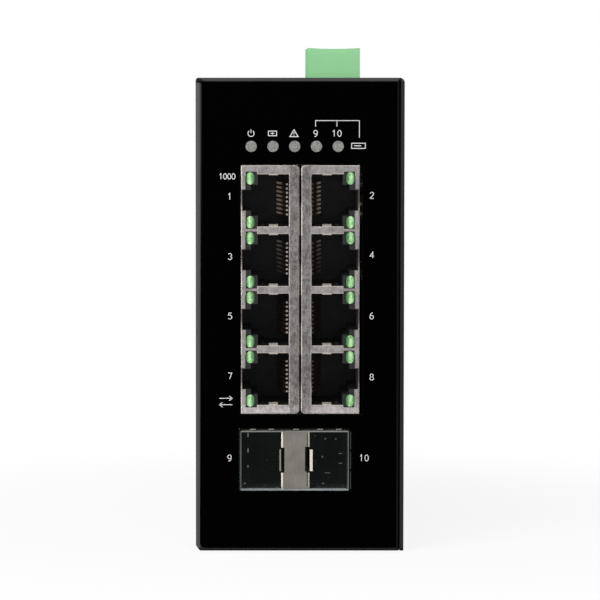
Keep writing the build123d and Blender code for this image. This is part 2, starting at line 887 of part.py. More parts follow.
def power_coils():
    """The shielded square coils on the power board, each with its round core end."""
    coils = []
    for i in range(coil_count):
        y = coil_y + i * coil_pitch
        half = coil_w / 2
        body = block(power_face - coil_h, power_face, y - half, y + half, coil_z - half, coil_z + half)
        end = power_face - coil_h
        coils.append(body + round_bar("x", end - coil_core_h, end, y, coil_z, coil_core_r))
    return coils


def link_places():
    """The pin places of the link between the boards, as depth and height."""
    return [(link_y + j * link_pitch, link_z + (i - (link_count - 1) / 2) * link_pitch)
            for i in range(link_count) for j in (-0.5, 0.5)]


def link_socket():
    """The tall socket strip of the link, on the main board, with its square holes."""
    half_y = link_pitch + link_margin / 2
    half_z = link_count * link_pitch / 2 + link_margin / 2
    end = board_face + link_socket_h
    body = block(board_face, end, link_y - half_y, link_y + half_y, link_z - half_z, link_z + half_z)
    for y, z in link_places():
        body -= block(board_face + link_out, end + past, y - link_w / 2, y + link_w / 2,
                      z - link_w / 2, z + link_w / 2)
    return body


def link_pins():
    """The long pins of the link, from the power board into the socket."""
    return [block(board_face + link_out, power_face + board_t + link_out, y - link_w / 2, y + link_w / 2,
                  z - link_w / 2, z + link_w / 2) for y, z in link_places()]


def pole_places():
    """The middle of each pole of the terminal block, as depth."""
    return [plug_front + (i + 0.5) * pole_pitch for i in range(poles)]


def header_front():
    """The front of the terminal header, and of the board under it."""
    return plug_front - plug_play - header_wall


def pin_level():
    """The height of the level leg of the header's pins."""
    return header_low + header_floor / 3


def terminal_header():
    """The open-topped header on the power board that the plug pushes into."""
    body = block(tongue_left - plug_play - header_wall, power_face, header_front(),
                 plug_back + plug_play + header_wall, header_low, header_top)
    body -= block(tongue_left - plug_play, tongue_right + plug_play, plug_front - plug_play,
                  plug_back + plug_play, header_low + header_floor, header_top + past)
    for y in pole_places():
        y0, y1 = y - pin_w / 2, y + pin_w / 2
        body -= block(pin_x - pin_w / 2, power_face + past, y0, y1, pin_level(), pin_level() + pin_w)
        body -= block(pin_x - pin_w / 2, pin_x + pin_w / 2, y0, y1, pin_level(), header_top)
    return body


def header_pins():
    """The bent square pins of the header, soldered through the power board."""
    pins = []
    for y in pole_places():
        level = block(pin_x - pin_w / 2, power_face + board_t + pin_out, y - pin_w / 2, y + pin_w / 2,
                      pin_level(), pin_level() + pin_w)
        pins.append(level + block(pin_x - pin_w / 2, pin_x + pin_w / 2, y - pin_w / 2, y + pin_w / 2,
                                  pin_level(), header_top - pin_top_below))
    return pins


def clamp_level():
    """The underside of the wire clamps in the plug."""
    return plug_top - clamp_below - clamp_z


def plug_body():
    """The moulded plug: dished top, overhang on the right, tongue, wire funnels and screw holes."""
    top = Line((plug_right, plug_seat), (plug_right, plug_top))
    dish = ThreePointArc((plug_right, plug_top), ((plug_left + plug_right) / 2, plug_top - plug_sag),
                         (plug_left, plug_top))
    rest = Polyline((plug_left, plug_top), (plug_left, plug_seat + plug_chamfer),
                    (plug_left + plug_chamfer, plug_seat), (tongue_left, plug_seat),
                    (tongue_left, tongue_low), (tongue_right, tongue_low), (tongue_right, plug_seat),
                    (plug_right, plug_seat))
    body = push(make_face(top + dish + rest), "y", plug_front, plug_back)
    low = clamp_level() - clamp_play
    high = low + clamp_z + 2 * clamp_play
    half = clamp_w / 2 + clamp_play
    x0, x1 = wire_x - clamp_x / 2 - clamp_play, wire_x + clamp_x / 2 + clamp_play
    for y in pole_places():
        body -= block(x0, x1, y - half, y + half, low, high)
        body -= block(wire_x - wire_w / 2, wire_x + wire_w / 2, y - wire_w / 2, y + wire_w / 2,
                      high - past, plug_top + past)
        body -= block(pin_x - socket_w / 2, pin_x + socket_w / 2, y - socket_w / 2, y + socket_w / 2,
                      tongue_low - past, low + past)
        body -= round_bar("x", x1 - past, plug_right + past, y, (low + high) / 2, driver_hole_r)
    return body


def wire_clamps():
    """The square wire clamps in the plug, each with its threaded screw hole."""
    clamps = []
    z0 = clamp_level()
    x0, x1 = wire_x - clamp_x / 2, wire_x + clamp_x / 2
    for y in pole_places():
        y0, y1 = y - clamp_w / 2, y + clamp_w / 2
        body = block(x0, x1, y0, y1, z0, z0 + clamp_z)
        body -= block(x0 + clamp_wall / 2, x1 - clamp_wall, y0 + clamp_wall / 2, y1 - clamp_wall / 2,
                      z0 - past, z0 + clamp_z + past)
        clamps.append(body - round_bar("x", x1 - clamp_wall - past, x1 + past, y, z0 + clamp_z / 2,
                                       clamp_screw_r + hole_play))
    return clamps


def clamp_screws():
    """The slotted clamp screws, reached from the plug's right side."""
    head1 = plug_right - driver_depth
    head0 = head1 - clamp_head_h
    end = wire_x + clamp_x / 2 - clamp_wall - clamp_screw_in
    z = clamp_level() + clamp_z / 2
    screws = []
    for y in pole_places():
        body = round_bar("x", head0, head1, y, z, clamp_head_r)
        body += round_bar("x", end, head0, y, z, clamp_screw_r)
        screws.append(body - block(head1 - driver_slot_d, head1 + past, y - clamp_head_r, y + clamp_head_r,
                                   z - driver_slot_w / 2, z + driver_slot_w / 2))
    return screws


def rail_bracket():
    """The rail bracket: back plate, two lanced hooks, guides for the catch and the lug under the spring."""
    x0, x1 = clip_mid - clip_w / 2, clip_mid + clip_w / 2
    every = ((False, False), (True, False), (False, True), (True, True))
    plate = push(rectangle(x0, x1, clip_low, clip_high, bend, every), "y", case_d, back_face)
    top = rail_low + rail_h + rail_play
    mid_y = (case_d + back_face) / 2
    hook_y = hook_face + clip_t / 2
    path = [(mid_y, top + 2 * clip_t), (mid_y, top + clip_t / 2), (hook_y, top + clip_t / 2),
            (hook_y, rail_low + rail_h - clip_hook_reach)]
    for side in (-1, 1):
        x = clip_mid + side * clip_hook_x
        a, b = x - clip_hook_w / 2, x + clip_hook_w / 2
        plate -= block(a, b, case_d - past, back_face + past, top - clip_hook_reach - clip_t, top)
        plate += push(strip(path, clip_t), "x", a, b)
        edge = clip_mid + side * (catch_w / 2 + catch_play)
        for step in guide_steps:
            plate += catch_guide(edge, side, clip_low + step)
    for x, z in clip_screws():
        plate -= round_bar("y", case_d - past, back_face + past, x, z, thread_r + hole_play)
    lug = block(clip_mid - lug_w / 2, clip_mid + lug_w / 2, back_face, spring_axis() + spring_r,
                spring_low - lug_t, spring_low)
    return plate + lug


def catch_guide(edge, side, z):
    """A small guide beside the catch, folded over its edge."""
    over = catch_face + catch_t + catch_play
    a, b = sorted((edge, edge + side * guide_t))
    c, d = sorted((edge - side * guide_w / 2, edge + side * guide_t))
    post = block(a, b, back_face, over + guide_t, z, z + guide_h)
    return post + block(c, d, over, over + guide_t, z, z + guide_h)


def spring_axis():
    """How far back the middle line of the catch spring lies."""
    return catch_face + catch_t + catch_play + spring_r + spring_wire / 2


def rail_catch():
    """The sliding catch under the rail's lower lip, with its spring window, lug and pull slot."""
    low_y = catch_face + catch_t / 2
    hook_y = hook_face + catch_t / 2
    edge = rail_low - rail_play
    path = [(low_y, catch_low), (low_y, edge - catch_t / 2), (hook_y, edge - catch_t / 2),
            (hook_y, rail_low + catch_reach)]
    body = push(strip(path, catch_t), "x", clip_mid - catch_w / 2, clip_mid + catch_w / 2)
    top = spring_low + spring_long + lug_play
    body -= block(clip_mid - lug_w / 2 - catch_play, clip_mid + lug_w / 2 + catch_play, back_face,
                  catch_face + catch_t + past, spring_low - lug_t - catch_play, top - catch_travel / 2)
    body += block(clip_mid - lug_w / 2, clip_mid + lug_w / 2, catch_face, spring_axis() + spring_r,
                  top, top + lug_t)
    pull = Pos(clip_mid, catch_low + pull_slot_h * 1.5) * SlotOverall(pull_slot_w, pull_slot_h)
    return body - push(pull, "y", back_face, catch_face + catch_t + past)


def catch_spring():
    """The coiled spring that pushes the catch up against the rail."""
    pitch = (spring_long - spring_wire) / spring_turns
    path = Helix(pitch, spring_turns * pitch, spring_r - spring_wire / 2)
    start = Plane(origin=path @ 0, x_dir=(0, 0, 1), z_dir=path % 0)
    coil = sweep(start * Rectangle(spring_wire, spring_wire), path=path, is_frenet=True)
    return Pos(clip_mid, spring_axis(), spring_low + spring_wire / 2) * coil


def bracket_screws():
    """The pan-head screws that hold the rail bracket."""
    screws = []
    for x, z in clip_screws():
        head = round_bar("y", back_face, back_face + head_h, x, z, head_r)
        head = fillet(head.faces().sort_by(Axis.Y)[-1].edges(), head_h * head_round)
        screws.append(head + round_bar("y", back_face - screw_long, back_face, x, z, thread_r))
    return screws


def ground_washer():
    """The washer under the ground screw."""
    ring = round_bar("y", case_d, case_d + washer_t, ground_x, ground_z, washer_r)
    hole = round_bar("y", case_d - past, case_d + washer_t + past, ground_x, ground_z, ground_r + hole_play)
    return ring - hole


def ground_screw():
    """The ground screw on the back wall."""
    base = case_d + washer_t
    head = round_bar("y", base, base + ground_head_h, ground_x, ground_z, ground_head_r)
    head = fillet(head.faces().sort_by(Axis.Y)[-1].edges(), ground_head_h * ground_head_round)
    return head + round_bar("y", base - ground_long, base, ground_x, ground_z, ground_r)


pieces["chassis"] = chassis()
pieces["side_cover"] = side_cover()
pieces["cover_screws"] = cover_screws()
pieces["front_film"] = front_film()
pieces["status_light_pipes"] = status_pipes()
pieces["light_pipe_holder"] = pipe_holder()
pieces["lamp_board"] = lamp_board()
pieces["lamp_chips"] = lamp_chips()
housing = jack_housing()
pieces["jack_shield_left"] = jack_shield(outer_wall=False)
pieces["jack_shield_right"] = to_right(jack_shield(outer_wall=True))
pieces["jack_housing_left"] = housing
pieces["jack_housing_right"] = to_right(housing)
for row in range(rows):
    contacts, lamps = jack_contacts(row), port_lamps(row)
    left, right = 2 * row + 1, 2 * row + 2
    pieces[f"jack_contacts_{left}"] = contacts
    pieces[f"jack_contacts_{right}"] = [to_right(c) for c in contacts]
    pieces[f"port_light_pipes_{left}"] = lamps
    pieces[f"port_light_pipes_{right}"] = [to_right(p) for p in lamps]
pieces["module_cage"] = cage_shell()
pieces["cage_divider"] = cage_divider()
pieces["cage_fingers"] = cage_fingers()
for side, port in ((-1, 9), (1, 10)):
    pieces[f"latch_spring_{port}"] = latch_spring(side)
    pieces[f"module_connector_{port}"] = edge_connector(side)
pieces["main_board"] = main_board()
pieces["board_supports"] = board_supports()
pieces["board_screws"] = board_screws()
pieces["switch_chip"] = switch_chip()
pieces["heat_sink"] = heat_sink()
pieces["small_chips"] = small_chips()
pieces["capacitors"] = capacitors()
pieces["power_board"] = power_board()
pieces["power_spacers"] = power_spacers()
pieces["alarm_relay"] = alarm_relay()
pieces["power_coils"] = power_coils()
pieces["power_capacitors"] = power_capacitors()
pieces["link_socket"] = link_socket()
pieces["link_pins"] = link_pins()
pieces["terminal_header"] = terminal_header()
pieces["header_pins"] = header_pins()
pieces["terminal_plug"] = plug_body()
pieces["wire_clamps"] = wire_clamps()
pieces["clamp_screws"] = clamp_screws()
pieces["rail_bracket"] = rail_bracket()
pieces["rail_catch"] = rail_catch()
pieces["catch_spring"] = catch_spring()
pieces["bracket_screws"] = bracket_screws()
pieces["ground_washer"] = ground_washer()
pieces["ground_screw"] = ground_screw()

groups = {name: Compound(children=p) if isinstance(p, list) else p for name, p in pieces.items()}
whole = Compound(children=[copy.copy(g) for g in groups.values()]).bounding_box()
move = Pos(-whole.center().X, -whole.center().Y, -whole.min.Z)
os.makedirs(out, exist_ok=True)
for name, group in groups.items():
    export_step(move * group, f"{out}/{name}.step")
print(len(groups), "pieces", whole.size)
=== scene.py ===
import collections
import json
import math

import bpy
import numpy as np
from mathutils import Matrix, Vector


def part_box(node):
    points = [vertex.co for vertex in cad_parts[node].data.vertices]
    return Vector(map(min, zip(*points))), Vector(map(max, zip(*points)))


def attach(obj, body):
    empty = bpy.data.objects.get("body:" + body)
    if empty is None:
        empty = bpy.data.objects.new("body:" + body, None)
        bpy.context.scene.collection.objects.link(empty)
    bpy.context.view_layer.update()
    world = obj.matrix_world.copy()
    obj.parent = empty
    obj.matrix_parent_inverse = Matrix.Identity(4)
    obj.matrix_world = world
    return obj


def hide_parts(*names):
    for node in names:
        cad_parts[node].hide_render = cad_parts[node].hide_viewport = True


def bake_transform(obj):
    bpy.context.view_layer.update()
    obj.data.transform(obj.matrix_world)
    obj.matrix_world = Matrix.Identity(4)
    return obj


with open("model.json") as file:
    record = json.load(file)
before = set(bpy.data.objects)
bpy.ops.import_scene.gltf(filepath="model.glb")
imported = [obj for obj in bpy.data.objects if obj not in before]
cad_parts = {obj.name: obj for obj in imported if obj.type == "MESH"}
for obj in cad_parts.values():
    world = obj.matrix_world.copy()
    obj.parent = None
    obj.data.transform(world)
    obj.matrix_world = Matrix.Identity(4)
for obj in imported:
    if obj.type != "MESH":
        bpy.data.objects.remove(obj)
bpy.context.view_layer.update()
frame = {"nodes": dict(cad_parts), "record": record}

# The frame is in metres; sizes and places here are in millimetres, except where a comment says otherwise
MM = 0.001

# Camera: a straight front view from the height of the case's top, framed partly by turning and partly by
# shift; the photograph is as wide and high as PICTURE_PX pixels
PICTURE_PX = 600.0
CAMERA_ACROSS = -14.02
CAMERA_AWAY = 650.0
CAMERA_UP = 108.0
CAMERA_PITCH = math.radians(3.054)
CAMERA_LENS = 167.1
CAMERA_SENSOR = 36.0
CAMERA_SHIFT = (0.1, -0.1)
CLIP_NEAR, CLIP_FAR = 0.01, 50

# Studio, in metres and watts: the fill of the world, the floor, how far from the object it turns white, and
# the lamps by their names, places, aims and powers
WORLD_FILL = 0.22
FLOOR_HALF = 6.0
FLOOR_DROP = 0.0001
FLOOR_GREY = 0.9
FLOOR_NEAR = 0.06
FLOOR_FAR = 0.16
FLOOR_SHARE = 0.88
LAMP_SIZE = 0.4
LAMPS = (
    ("key", (-0.55, -0.6, 0.25), (0, -0.05, 0.07), 6.6),
    ("top", (-0.05, -0.35, 0.7), (0, -0.04, 0.08), 2.4),
)

# Powder coat: the tone of the walls, the painted sheen added where it faces forwards, and more of it there on
# the chassis, how much painted light makes the left and upper bends paler and how much painted shade makes
# the right and lower ones darker, and the heights between which this painted sheen grows
WALL_TONE = 0.016
FORWARD_PAINTED_SHEEN = 0.005
CHASSIS_PAINTED_SHEEN = 0.006
LEFT_PAINTED_LIGHT = 0.031
UPPER_PAINTED_LIGHT = 0.022
RIGHT_PAINTED_SHADE = 0.021
LOWER_PAINTED_SHADE = 0.014
PAINTED_SHEEN_HEIGHT = (0, 110)

# Painted shade in the relief at the case's upper left corner, as two marks: the lean of the first, where it
# starts and how far down it runs, how far down the level one lies and how long it is, and the share of the
# light that they take
RELIEF_LEAN = 1.7
RELIEF_START = 0.35
RELIEF_DOWN = 0.6
RELIEF_LEVEL = 0.95
RELIEF_LONG = 1.5
RELIEF_SHADE = 0.85

# Shields: how far their faces lie behind the film's front, the width of their inner strips and how softly
# those end, the width of their lamp strips, how far inside their outer edges the lamps stand and the painted
# shade of the side walls reaches, and the pitch of the sockets
SHIELD_BACK = 0.1
INNER_STRIP = 2.4
STRIP_SOFT = 0.3
LAMP_STRIP = 3.77
LAMP_IN = 2.21
SIDE_WALL = 1.2
PORT_PITCH = 13.97

# Lamps and contacts of the sockets: how far outside its middle a lamp's painted highlight lies, how far
# behind the front the painted highlight on the contacts' tips ends and their painted glints grow, and the
# heights between which the glints grow
LAMP_HIGHLIGHT_OUT = 0.15
TIP_HIGHLIGHT_END = (7.0, 7.4)
GLINT_DEPTH = (9.0, 14.0)
GLINT_HEIGHT = (60.0, 84.0)

# Black mouldings: the depths between which painted shade darkens them, the heights between which their
# painted glow grows, and the depths between which the even painted glow at the back of the module slots takes
# over
LIP_DEPTH = (0.9, 4.0)
GLOW_HEIGHT = (40.0, 85.0)
SLOT_DEPTH = (26.0, 30.0)

# Module cage and springs: how wide the border's dark outline is at the sides and how high at the top, the
# depths between which the cage's border ends and painted shade darkens its walls, and those between which
# painted shade darkens the springs
BORDER_WIDE = 0.26
BORDER_HIGH = 0.16
SHELL_DEPTH = (0.2, 0.4)
CAGE_DEPTH = (1.2, 2.2)
SPRING_DEPTH = (1.6, 2.6)

# Latches between the module slots: the middle and half height of their windows, where the painted shadow of
# the right window starts on the divider, and where the painted shade on the left latch's lee side starts and
# ends
LATCH_MID = 21.75
LATCH_HALF = 2.95
LATCH_SHADE = 1.2
LATCH_LEE = -4.45
LATCH_END = -3.6

# Print on the film: its stroke width, how far it stands in front, the height of the numbers in pixels of the
# photograph, the steps from digit to digit in short and long numbers as shares of their height, the points
# along a digit's arc and a sign's, and the smallest cosine that a corner's reach is divided by
PRINT_STROKE = 0.165
PRINT_LIFT = 0.02
DIGIT_PX = 6.8
SPEED_PX = 6.2
DIGIT_STEP = 0.78
LONG_STEP = 0.68
ARC_STEPS = 20
SIGN_STEPS = 24
LEAST_COSINE = 0.3

# Digits on a field one unit high: arcs with a centre, two radii and two angles in degrees, and lines
Arc = collections.namedtuple("Arc", "x z wide high start end")
DIGITS = {
    "0": [Arc(0, 0, 0.29, 0.5, 90, 455)],
    "1": [[(-0.2, 0.28), (0.02, 0.5), (0.02, -0.5)]],
    "2": [Arc(0, 0.22, 0.28, 0.28, 165, -35), [(0.22, 0.07), (-0.29, -0.48)],
          [(-0.31, -0.5), (0.3, -0.5)]],
    "3": [Arc(-0.02, 0.25, 0.26, 0.25, 150, -90), Arc(-0.02, -0.24, 0.3, 0.26, 90, -155)],
    "4": [[(0.13, -0.5), (0.13, 0.5), (-0.32, -0.2), (0.34, -0.2)]],
    "5": [[(0.26, 0.5), (-0.2, 0.5), (-0.26, 0.02)], Arc(-0.01, -0.17, 0.31, 0.33, 140, -145)],
    "6": [Arc(0, -0.19, 0.29, 0.31, 90, 455), Arc(0.12, -0.12, 0.41, 0.62, 175, 80)],
    "7": [[(-0.3, 0.5), (0.3, 0.5), (-0.08, -0.5)]],
    "8": [Arc(0, 0.26, 0.25, 0.24, 90, 455), Arc(0, -0.23, 0.3, 0.27, 90, 455)],
    "9": [Arc(0, 0.19, 0.29, 0.31, 90, 455), Arc(-0.12, 0.12, 0.41, 0.62, -5, -100)],
}

# Numbers of the front by their places in the photograph: each one's middle and height in pixels
NUMBERS = (
    ("1", 229.6, 196.5, DIGIT_PX), ("3", 230.0, 256.5, DIGIT_PX), ("5", 230.0, 316.0, DIGIT_PX),
    ("7", 230.0, 376.0, DIGIT_PX), ("2", 371.9, 195.3, DIGIT_PX), ("4", 372.0, 255.0, DIGIT_PX),
    ("6", 371.7, 316.0, DIGIT_PX), ("8", 371.7, 377.0, DIGIT_PX), ("9", 229.5, 458.0, DIGIT_PX),
    ("10", 364.0, 458.0, DIGIT_PX), ("9", 315.6, 133.4, DIGIT_PX), ("10", 336.8, 133.4, DIGIT_PX),
    ("1000", 227.1, 176.4, SPEED_PX),
)

# Bracket over the module lamps: its places in pixels of the photograph, and its stroke
BRACKET_TOP = 120.6
BRACKET_LEFT = 315.6
BRACKET_MIDDLE = 336.9
BRACKET_RIGHT = 359.4
BRACKET_SHORT = 126.5
BRACKET_LONG = 137.8
BRACKET_STROKE = 0.15

# Signs: their middles in pixels of the photograph, and their sizes
SIGN_POWER = (251.0, 133.4)
SIGN_SPARE = (272.5, 133.4)
SIGN_ALARM = (294.0, 133.4)
SIGN_MODULE = (358.5, 145.8)
SIGN_LINK = (225.8, 401.5)
POWER_R = 0.72
POWER_TURN = (130, 410)
POWER_BAR = (0.1, 0.95)
SPARE_HALF = (0.95, 0.55)
PLUS_HALF = (0.45, 0.3)
ALARM_HALF = 0.95
ALARM_FOOT = -0.75
ALARM_HEAD = 0.85
ALARM_BAR = (-0.15, 0.3)
ALARM_DOT = (-0.5, -0.35)
ALARM_STROKE = 0.18
MODULE_HALF = (1.6, 0.6)
MODULE_BAR = (-1.0, 0.6)
ARROW_HALF = (1.5, 0.75)
ARROW_BARB = (0.7, 0.55)

# Lugs in the module slots by their places in the photograph: the middle and the size of each in pixels; and
# their thickness, the facing above which a wall is a side one, and the most that a slant lengthens a lug
LUGS = np.array([
    (248.0, 434.9, 1.5, 4.4), (248.0, 450.4, 1.5, 4.4), (248.0, 466.4, 1.5, 4.4),
    (244.8, 483.4, 2.0, 1.6), (325.3, 438.7, 1.6, 1.5), (335.7, 439.0, 1.5, 1.2),
    (322.3, 456.7, 1.7, 1.7), (340.4, 453.5, 3.6, 0.9), (340.4, 463.2, 3.6, 0.9),
    (327.5, 473.0, 5.6, 0.9), (323.0, 483.5, 2.2, 1.3),
])
LUG_THICK = 0.06
SIDE_FACING = 0.7
MOST_SLANT = 4.0

# Screw drives: how far the bracket's screws stand from its middle, how far the cover's screws lie inside its
# edges, half the length and width of a cross's arms, and its thickness
BRACKET_SCREW = 12.0
COVER_INSET = 4.2
DRIVE_HALF = (1.25, 0.28)
DRIVE_THICK = 0.03

# The catch's return spring: its turns, the points along a turn and round the wire, the wire's radius, and how
# much its pitch opens in the middle
SPRING_TURNS = 5
SPRING_STEPS = 24
WIRE_SIDES = 8
WIRE_R = 0.24
PITCH_OPENS = 0.4

# Directions, colours, and how much of a pattern's range turns into a change of roughness
RIGHT = (1.0, 0.0, 0.0)
BACK = (0.0, 1.0, 0.0)
UP = (0.0, 0.0, 1.0)
BLACK = (0, 0, 0)
WHITE = (1, 1, 1)
MOST = (0.2, 0.8)
WHOLE = (0, 1)


def in_mm(box):
    """The lower and upper corner of a box as arrays, in millimetres."""
    return [np.array(corner) / MM for corner in box]


FRONT = in_mm(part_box("front_film"))[0][1]
CASE_LOW, CASE_HIGH = in_mm(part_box("chassis"))
CASE_LEFT, CASE_RIGHT, CASE_TOP = CASE_LOW[0], CASE_HIGH[0], CASE_HIGH[2]
cage_low, cage_high = in_mm(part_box("module_cage"))
CAGE_LEFT, CAGE_RIGHT, CAGE_LOW, CAGE_TOP = cage_low[0], cage_high[0], cage_low[2], cage_high[2]
shields_low = in_mm(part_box("jack_shield_left"))[0]
shields_high = in_mm(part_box("jack_shield_right"))[1]
JACK_MID = (shields_low[0] + shields_high[0]) / 2
JACK_HALF = (shields_high[0] - shields_low[0]) / 2
JACK_LOW = shields_low[2]
SPOT = Vector((CAMERA_ACROSS, FRONT - CAMERA_AWAY, CAMERA_UP)) * MM


def place_camera():
    """Sets the camera up at its spot, pitched a little downwards."""
    camera = bpy.data.objects.new("camera", bpy.data.cameras.new("camera"))
    bpy.context.scene.collection.objects.link(camera)
    bpy.context.scene.camera = camera
    camera.location = SPOT
    camera.rotation_euler = (math.pi / 2 - CAMERA_PITCH, 0, 0)
    camera.data.sensor_width = CAMERA_SENSOR
    camera.data.lens = CAMERA_LENS
    camera.data.shift_x, camera.data.shift_y = CAMERA_SHIFT
    camera.data.clip_start, camera.data.clip_end = CLIP_NEAR, CLIP_FAR


def on_front(px, py):
    """Where the ray through a pixel of the photograph meets the film's front, across and up: the pixel's
    place on the sensor, turned by the pitch, over its distance ahead and times the camera's distance."""
    sensor = CAMERA_SENSOR / PICTURE_PX
    across = ((px - PICTURE_PX / 2) + CAMERA_SHIFT[0] * PICTURE_PX) * sensor
    down = ((py - PICTURE_PX / 2) - CAMERA_SHIFT[1] * PICTURE_PX) * sensor
    level, drop = math.cos(CAMERA_PITCH), math.sin(CAMERA_PITCH)
    ahead = CAMERA_LENS * level - down * drop
    fall = CAMERA_LENS * drop + down * level
    return np.array((CAMERA_ACROSS + across / ahead * CAMERA_AWAY,
                     CAMERA_UP - fall / ahead * CAMERA_AWAY))


MIDDLE_PX = PICTURE_PX / 2
MM_PER_PX = on_front(MIDDLE_PX + 1, MIDDLE_PX)[0] - on_front(MIDDLE_PX, MIDDLE_PX)[0]


class Socket:
    """A number or colour on its way through a graph; sums and products of numbers add Math nodes."""

    def __init__(self, graph, link):
        self.graph = graph
        self.link = link

    def math(self, operation, *values):
        return self.graph.node("Math", dict(enumerate(values)), operation=operation)

    def __add__(self, other):
        return self.math("ADD", self, other)

    def __radd__(self, other):
        return self.math("ADD", other, self)

    def __sub__(self, other):
        return self.math("SUBTRACT", self, other)

    def __rsub__(self, other):
        return self.math("SUBTRACT", other, self)

    def __mul__(self, other):
        return self.math("MULTIPLY", self, other)

    def __rmul__(self, other):
        return self.math("MULTIPLY", other, self)

    def __abs__(self):
        return self.math("ABSOLUTE", self)


class Graph:
    """A node tree under construction: one method adds any node, the rest are short names for patterns."""

    def __init__(self, tree):
        self.tree = tree

    def put(self, socket, value):
        """Sets a socket to a number or colour, or links it."""
        if isinstance(value, Socket):
            self.tree.links.new(value.link, socket)
        elif hasattr(value, "__len__") and len(value) == 3 and len(socket.default_value) == 4:
            socket.default_value = (*value, 1)
        else:
            socket.default_value = value

    def node(self, kind, inputs=None, out=0, **settings):
        """Any node, by its type: its settings first, then the values or links of its sockets."""
        made = self.tree.nodes.new("ShaderNode" + kind)
        for key, value in settings.items():
            setattr(made, key, value)
        for key, value in (inputs or {}).items():
            self.put(made.inputs[key], value)
        return Socket(self, made.outputs[out])

    def place(self, stretch=(1, 1, 1)):
        """Object coordinates in millimetres, stretched along the axes."""
        point = self.node("TexCoord", out="Object")
        return self.node("Mapping", {"Vector": point, "Scale": tuple(s / MM for s in stretch)})

    def along(self, axis):
        """The distance along one axis of the frame."""
        return self.node("SeparateXYZ", {0: self.place()}, out=axis)

    def behind(self, start, end, first=0.0, last=1.0):
        """A smooth step between two depths behind the film's front."""
        return self.step(self.along(1), FRONT + start, FRONT + end, first, last)

    def turned(self, axis):
        """The part of the surface's normal along one axis, from -1 to 1."""
        return self.node("SeparateXYZ", {0: self.node("NewGeometry", out="Normal")}, out=axis)

    def facing(self, axis):
        """How squarely the surface faces along one axis, either way, from 0 to 1."""
        return abs(self.turned(axis))

    def noise(self, size, detail=2.0, stretch=(1, 1, 1), rough=0.5):
        """Soft noise from 0 to 1 with lumps about size millimetres wide."""
        return self.node("TexNoise", {"Vector": self.place(stretch), "Scale": 1 / size, "Detail": detail,
                                      "Roughness": rough})

    def cells(self, size, stretch=(1, 1, 1)):
        """Random grey cells about size millimetres wide, from 0 to 1."""
        colour = self.node("TexVoronoi", {"Vector": self.place(stretch), "Scale": 1 / size}, out="Color")
        return self.node("SeparateColor", {0: colour})

    def step(self, value, low, high, first=0.0, last=1.0):
        """A smooth step from first to last while the value goes from low to high."""
        return self.node("MapRange", {"Value": value, "From Min": low, "From Max": high, "To Min": first,
                                      "To Max": last}, interpolation_type="SMOOTHSTEP")

    def fall(self, value, low, high):
        """A smooth step from one down to zero."""
        return self.step(value, low, high, 1.0, 0.0)

    def larger(self, first, second):
        """The larger of two numbers."""
        return self.node("Math", {0: first, 1: second}, operation="MAXIMUM")

    def blend(self, share, first, second):
        """A colour from first to second by a share from 0 to 1."""
        return self.node("Mix", {0: share, 6: first, 7: second}, out=2, data_type="RGBA", clamp_factor=True)

    def sheen(self, pattern, smooth, rough, between=MOST):
        """A roughness from smooth to rough while a pattern goes between two values."""
        return self.step(pattern, *between, smooth, rough)

    def scaled(self, colour, factor):
        """A colour times a number."""
        return self.node("VectorMath", {0: colour, "Scale": factor}, operation="SCALE")

    def bump(self, height, strength, depth):
        """A small relief from a height pattern."""
        return self.node("Bump", {"Height": height, "Strength": strength, "Distance": depth * MM})


class Finish(Graph):
    """A material under construction."""

    def __init__(self, name):
        self.material = bpy.data.materials.new(name)
        self.material.use_nodes = True
        super().__init__(self.material.node_tree)

    def done(self, **sockets):
        """Fills the shader's sockets, named with underscores for spaces, and returns the material."""
        shader = self.tree.nodes["Principled BSDF"]
        for key, value in sockets.items():
            self.put(shader.inputs[key.replace("_", " ")], value)
        return self.material


